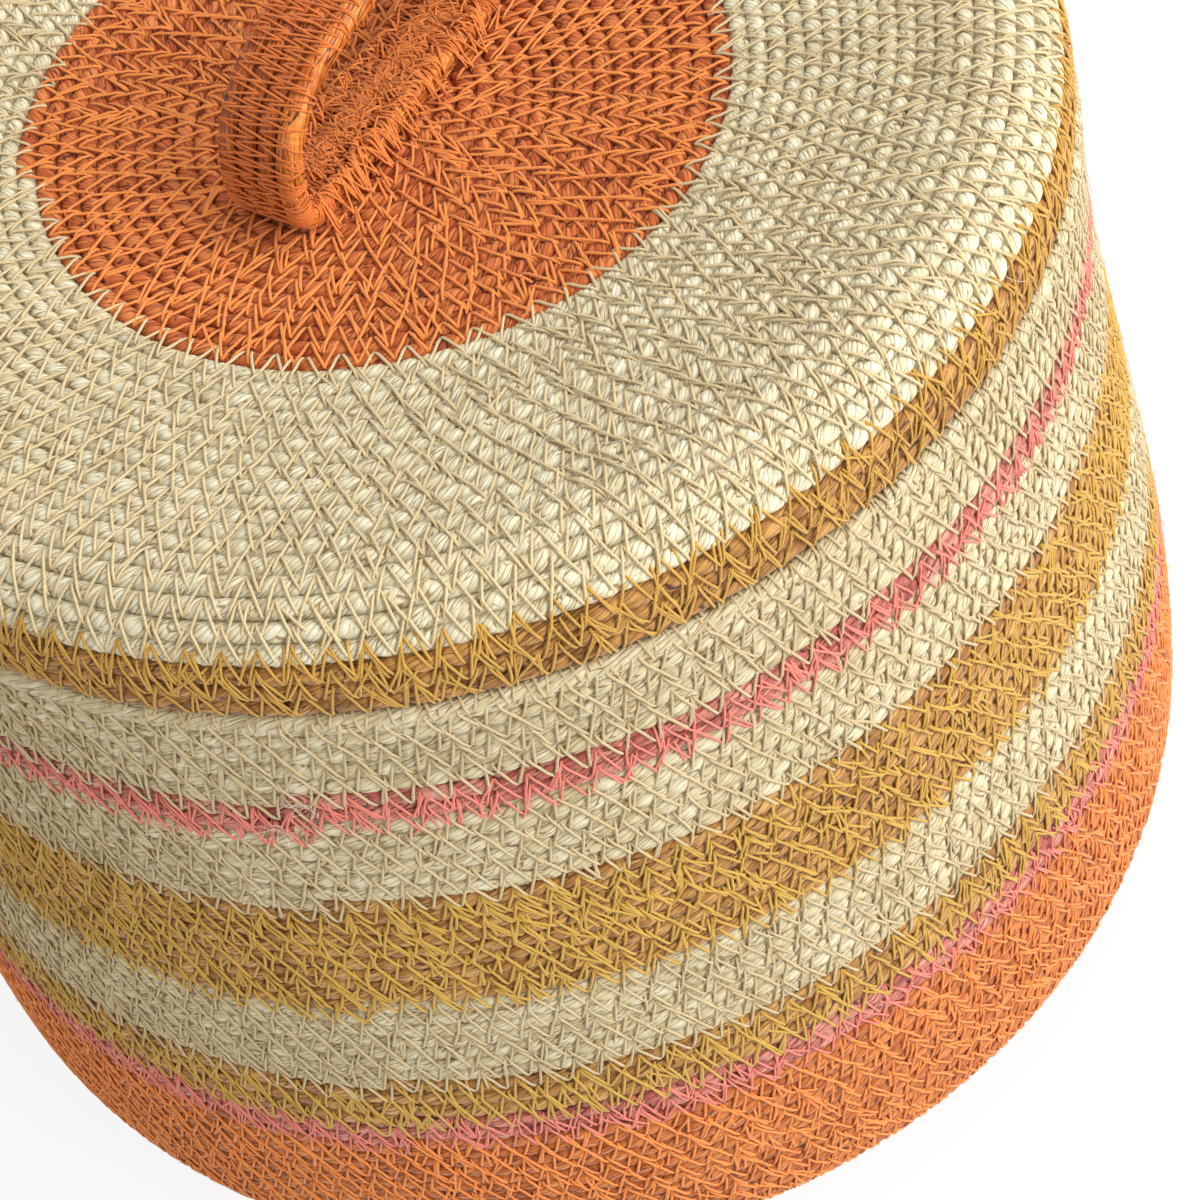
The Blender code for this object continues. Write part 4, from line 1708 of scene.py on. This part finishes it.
    def edge_stitches(self, path: StrapPath, rng: np.random.Generator) -> Tubes:
        """Stitches that wrap round the strap's two edges, close together at the folds and few elsewhere.

        Args:
            path: the strap's middle.
            rng: for their places.

        Returns:
            One tube for each stitch.
        """
        size = (self.EDGE_STITCHES, 1)
        half = self.outlines.sizes.handle_length / 2 - CORD_THICKNESS / 2
        low = path.route[:, 1].min() + HANDLE_FOOT_BEND * 2.4
        at_fold = (np.abs(path.route[:, 0]) > half - HANDLE_FOOT_BEND * 1.6) & (path.route[:, 1] < low)
        weight = np.cumsum(np.where(at_fold, *self.EDGE_WEIGHTS))
        start = np.interp(rng.random(size), weight / weight[-1], path.run)
        side = np.where(rng.random(size) < 0.5, -1.0, 1.0)
        share = np.linspace(0.0, 1.0, 11)
        turned = math.pi * (-0.22 + 1.44 * share)
        place = (start + rng.normal(0.0, 0.0024, size) * (share - 0.5)) % path.run[-1]
        round_out, round_side = (squarish(turn(turned), self.SECTION_POWER) for turn in (np.cos, np.sin))
        sunk = 1 - 0.25 * (np.abs(share - 0.5) * 2) ** 8
        centre = (HANDLE_CORDS / 2 - 0.5) * HANDLE_CORD_PITCH
        points, skin = (
            path.placed(
                place,
                side * (centre + (self.HALF_WIDTH * HANDLE_CORD_PITCH + more) * round_side),
                (self.HALF_DEPTH * CORD_THICKNESS + more) * round_out * sunk,
            )
            for more in (0.00012, 0.0011)
        )
        return thread_tubes(points, skin, STRAP_THREAD.width, 5, rng.random(self.EDGE_STITCHES))

    def foot_stitches(self, rng: np.random.Generator) -> Tubes:
        """The mass of stitches that sews the foot to the lid: many passes of zig-zag over each other.

        Args:
            rng: for the passes.

        Returns:
            One tube for each leg.
        """
        sizes = self.outlines.sizes
        half = sizes.handle_length / 2 - CORD_THICKNESS / 2
        strap_half = HANDLE_CORDS / 2 * HANDLE_CORD_PITCH

        def skin_height(x: np.ndarray, y: np.ndarray) -> np.ndarray:
            """The height of the strap's foot, or of the lid beside it."""
            lid = sizes.rim_height + self.outlines.dish_height(np.hypot(x, y))
            foot = HANDLE_SEAT_GAP + CORD_THICKNESS * 0.97
            return lid + foot * (1 - smooth_step((np.abs(y) - strap_half + 0.0012) / 0.0040))

        share, dip = (np.array(x) for x in self.FOOT_LEG)
        places, shades = [], []
        for _ in range(self.FOOT_PASSES):
            middle = (strap_half + 0.0010) * rng.uniform(-1, 1) ** 3
            reach = rng.uniform(*self.FOOT_REACH)
            period = rng.uniform(*self.FOOT_PERIOD)
            first, last = np.sort(rng.uniform(-half, half, 2))
            if last - first <= self.SHORTEST_PASS:
                first, last = -half + 0.004, half - 0.004
            count = int((last - first) / period) * 2
            x = first + np.arange(count) * period / 2 + rng.normal(0, self.FOOT_SCATTER, count)
            drift = wander(rng, count, *self.FOOT_WANDER)
            y = middle + drift + reach * np.where(np.arange(count) % 2, 1, -1) * rng.uniform(0.25, 1.6, count)
            leg_x, leg_y = (line[:-1, None] + np.diff(line)[:, None] * share for line in (x, y))
            lift = rng.uniform(0.0, self.FOOT_LIFT, (count - 1, 1))
            places.append(np.stack([leg_x, leg_y, skin_height(leg_x, leg_y) + dip + lift], axis=-1))
            shades.append(rng.random(count - 1))
        points, shade = np.concatenate(places), np.concatenate(shades)
        return thread_tubes(points, points + (0.0, 0.0, 0.001), FOOT_THREAD.width, 5, shade)


@dataclass
class Studio:
    """A pale floor, soft light and the photograph's camera.

    Attributes:
        place: where the camera is.
        right: the picture's right.
        up: the picture's up.
        lens: for a 36 mm sensor.
    """

    place: tuple[float, float, float] = (-0.28742, -0.29453, 0.59279)
    right: tuple[float, float, float] = (0.50713, -0.84710, -0.15888)
    up: tuple[float, float, float] = (0.74315, 0.33641, 0.57841)
    lens: float = 79.483
    FLOOR_RADIUS = 6.0
    # Just under the stitches of the base
    FLOOR_HEIGHT = -0.0004
    # Name, place, width and power in watts
    LAMPS = (
        ("key_lamp", (0.36, -1.63, 1.02), 2.2, 60.0),
        ("back_lamp", (0.95, -0.05, 1.80), 0.9, 12.5),
        ("fill_lamp", (-1.50, 0.42, 1.10), 1.4, 8.0),
    )
    LAMP_COLOUR = (0.97, 1.0, 1.03)
    LAMP_AIM = (0.0, 0.0, 0.12)
    WORLD_LIGHT = 0.34
    WORLD_COLOUR = (1.0, 0.975, 0.89, 1.0)

    def build(self) -> None:
        """Makes the camera, the floor, the lamps and the world."""
        self.camera()
        self.floor()
        self.lamps()
        self.world()
        bpy.context.scene.view_settings.view_transform = "Standard"

    def camera(self) -> None:
        """Sets the camera by its picture's directions."""
        data = bpy.data.cameras.new("camera")
        data.sensor_width = 36.0
        data.lens = self.lens
        data.clip_start = 0.01
        camera = bpy.data.objects.new("camera", data)
        right, up = Vector(self.right).normalized(), Vector(self.up).normalized()
        back = right.cross(up).normalized()
        up = back.cross(right)
        turn = Matrix((right, up, back)).transposed().to_4x4()
        camera.matrix_world = Matrix.Translation(self.place) @ turn
        bpy.context.scene.collection.objects.link(camera)
        bpy.context.scene.camera = camera

    def floor(self) -> None:
        """Makes a wide sheet of studio paper under the basket."""
        count, size = 96, self.FLOOR_RADIUS
        angle = np.arange(count) * FULL_TURN / count
        points = [(size * math.cos(a), size * math.sin(a), self.FLOOR_HEIGHT) for a in angle]
        mesh = bpy.data.meshes.new("floor")
        mesh.from_pydata(points, [], [list(range(count))])
        floor = bpy.data.objects.new("floor", mesh)
        floor.data.materials.append(PaleFloor().material())
        bpy.context.scene.collection.objects.link(floor)

    def lamps(self) -> None:
        """Hangs a large soft key lamp on the picture's right, and weaker ones behind and on its left."""
        for name, place, size, power in self.LAMPS:
            data = bpy.data.lights.new(name, "AREA")
            data.shape = "DISK"
            data.size = size
            data.energy = power
            data.color = self.LAMP_COLOUR
            lamp = bpy.data.objects.new(name, data)
            lamp.location = place
            aim = Vector(self.LAMP_AIM) - Vector(place)
            lamp.rotation_euler = aim.to_track_quat("-Z", "Y").to_euler()
            bpy.context.scene.collection.objects.link(lamp)

    def world(self) -> None:
        """Surrounds the scene with an even white, which the camera sees as white."""
        world = bpy.data.worlds.new("studio")
        world.use_nodes = True
        tree = world.node_tree
        background = tree.nodes["Background"]
        seen = seen_directly(tree)
        strength = add_node(tree, "MapRange", {"Value": seen, "To Min": self.WORLD_LIGHT, "To Max": 1.0})
        # The light itself is a little warm, as from a room's walls.
        tones = {0: seen, 6: self.WORLD_COLOUR, 7: (1.0, 1.0, 1.0, 1.0)}
        tone = add_node(tree, "Mix", tones, data_type="RGBA")
        tree.links.new(tone.outputs[2], background.inputs["Color"])
        tree.links.new(strength.outputs["Result"], background.inputs["Strength"])
        bpy.context.scene.world = world


def main() -> None:
    """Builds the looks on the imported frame, piece by piece."""
    logging.basicConfig(level=logging.INFO, format="%(name)s: %(message)s")
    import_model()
    outlines = Outlines(Sizes.from_frame())
    Studio().build()
    made = []
    for part in (Basket(outlines), Lid(outlines), HandleStrap(outlines)):
        made += part.build().pieces
    LOG.info("%d pieces", len(made))


if __name__ == "__main__":
    main()
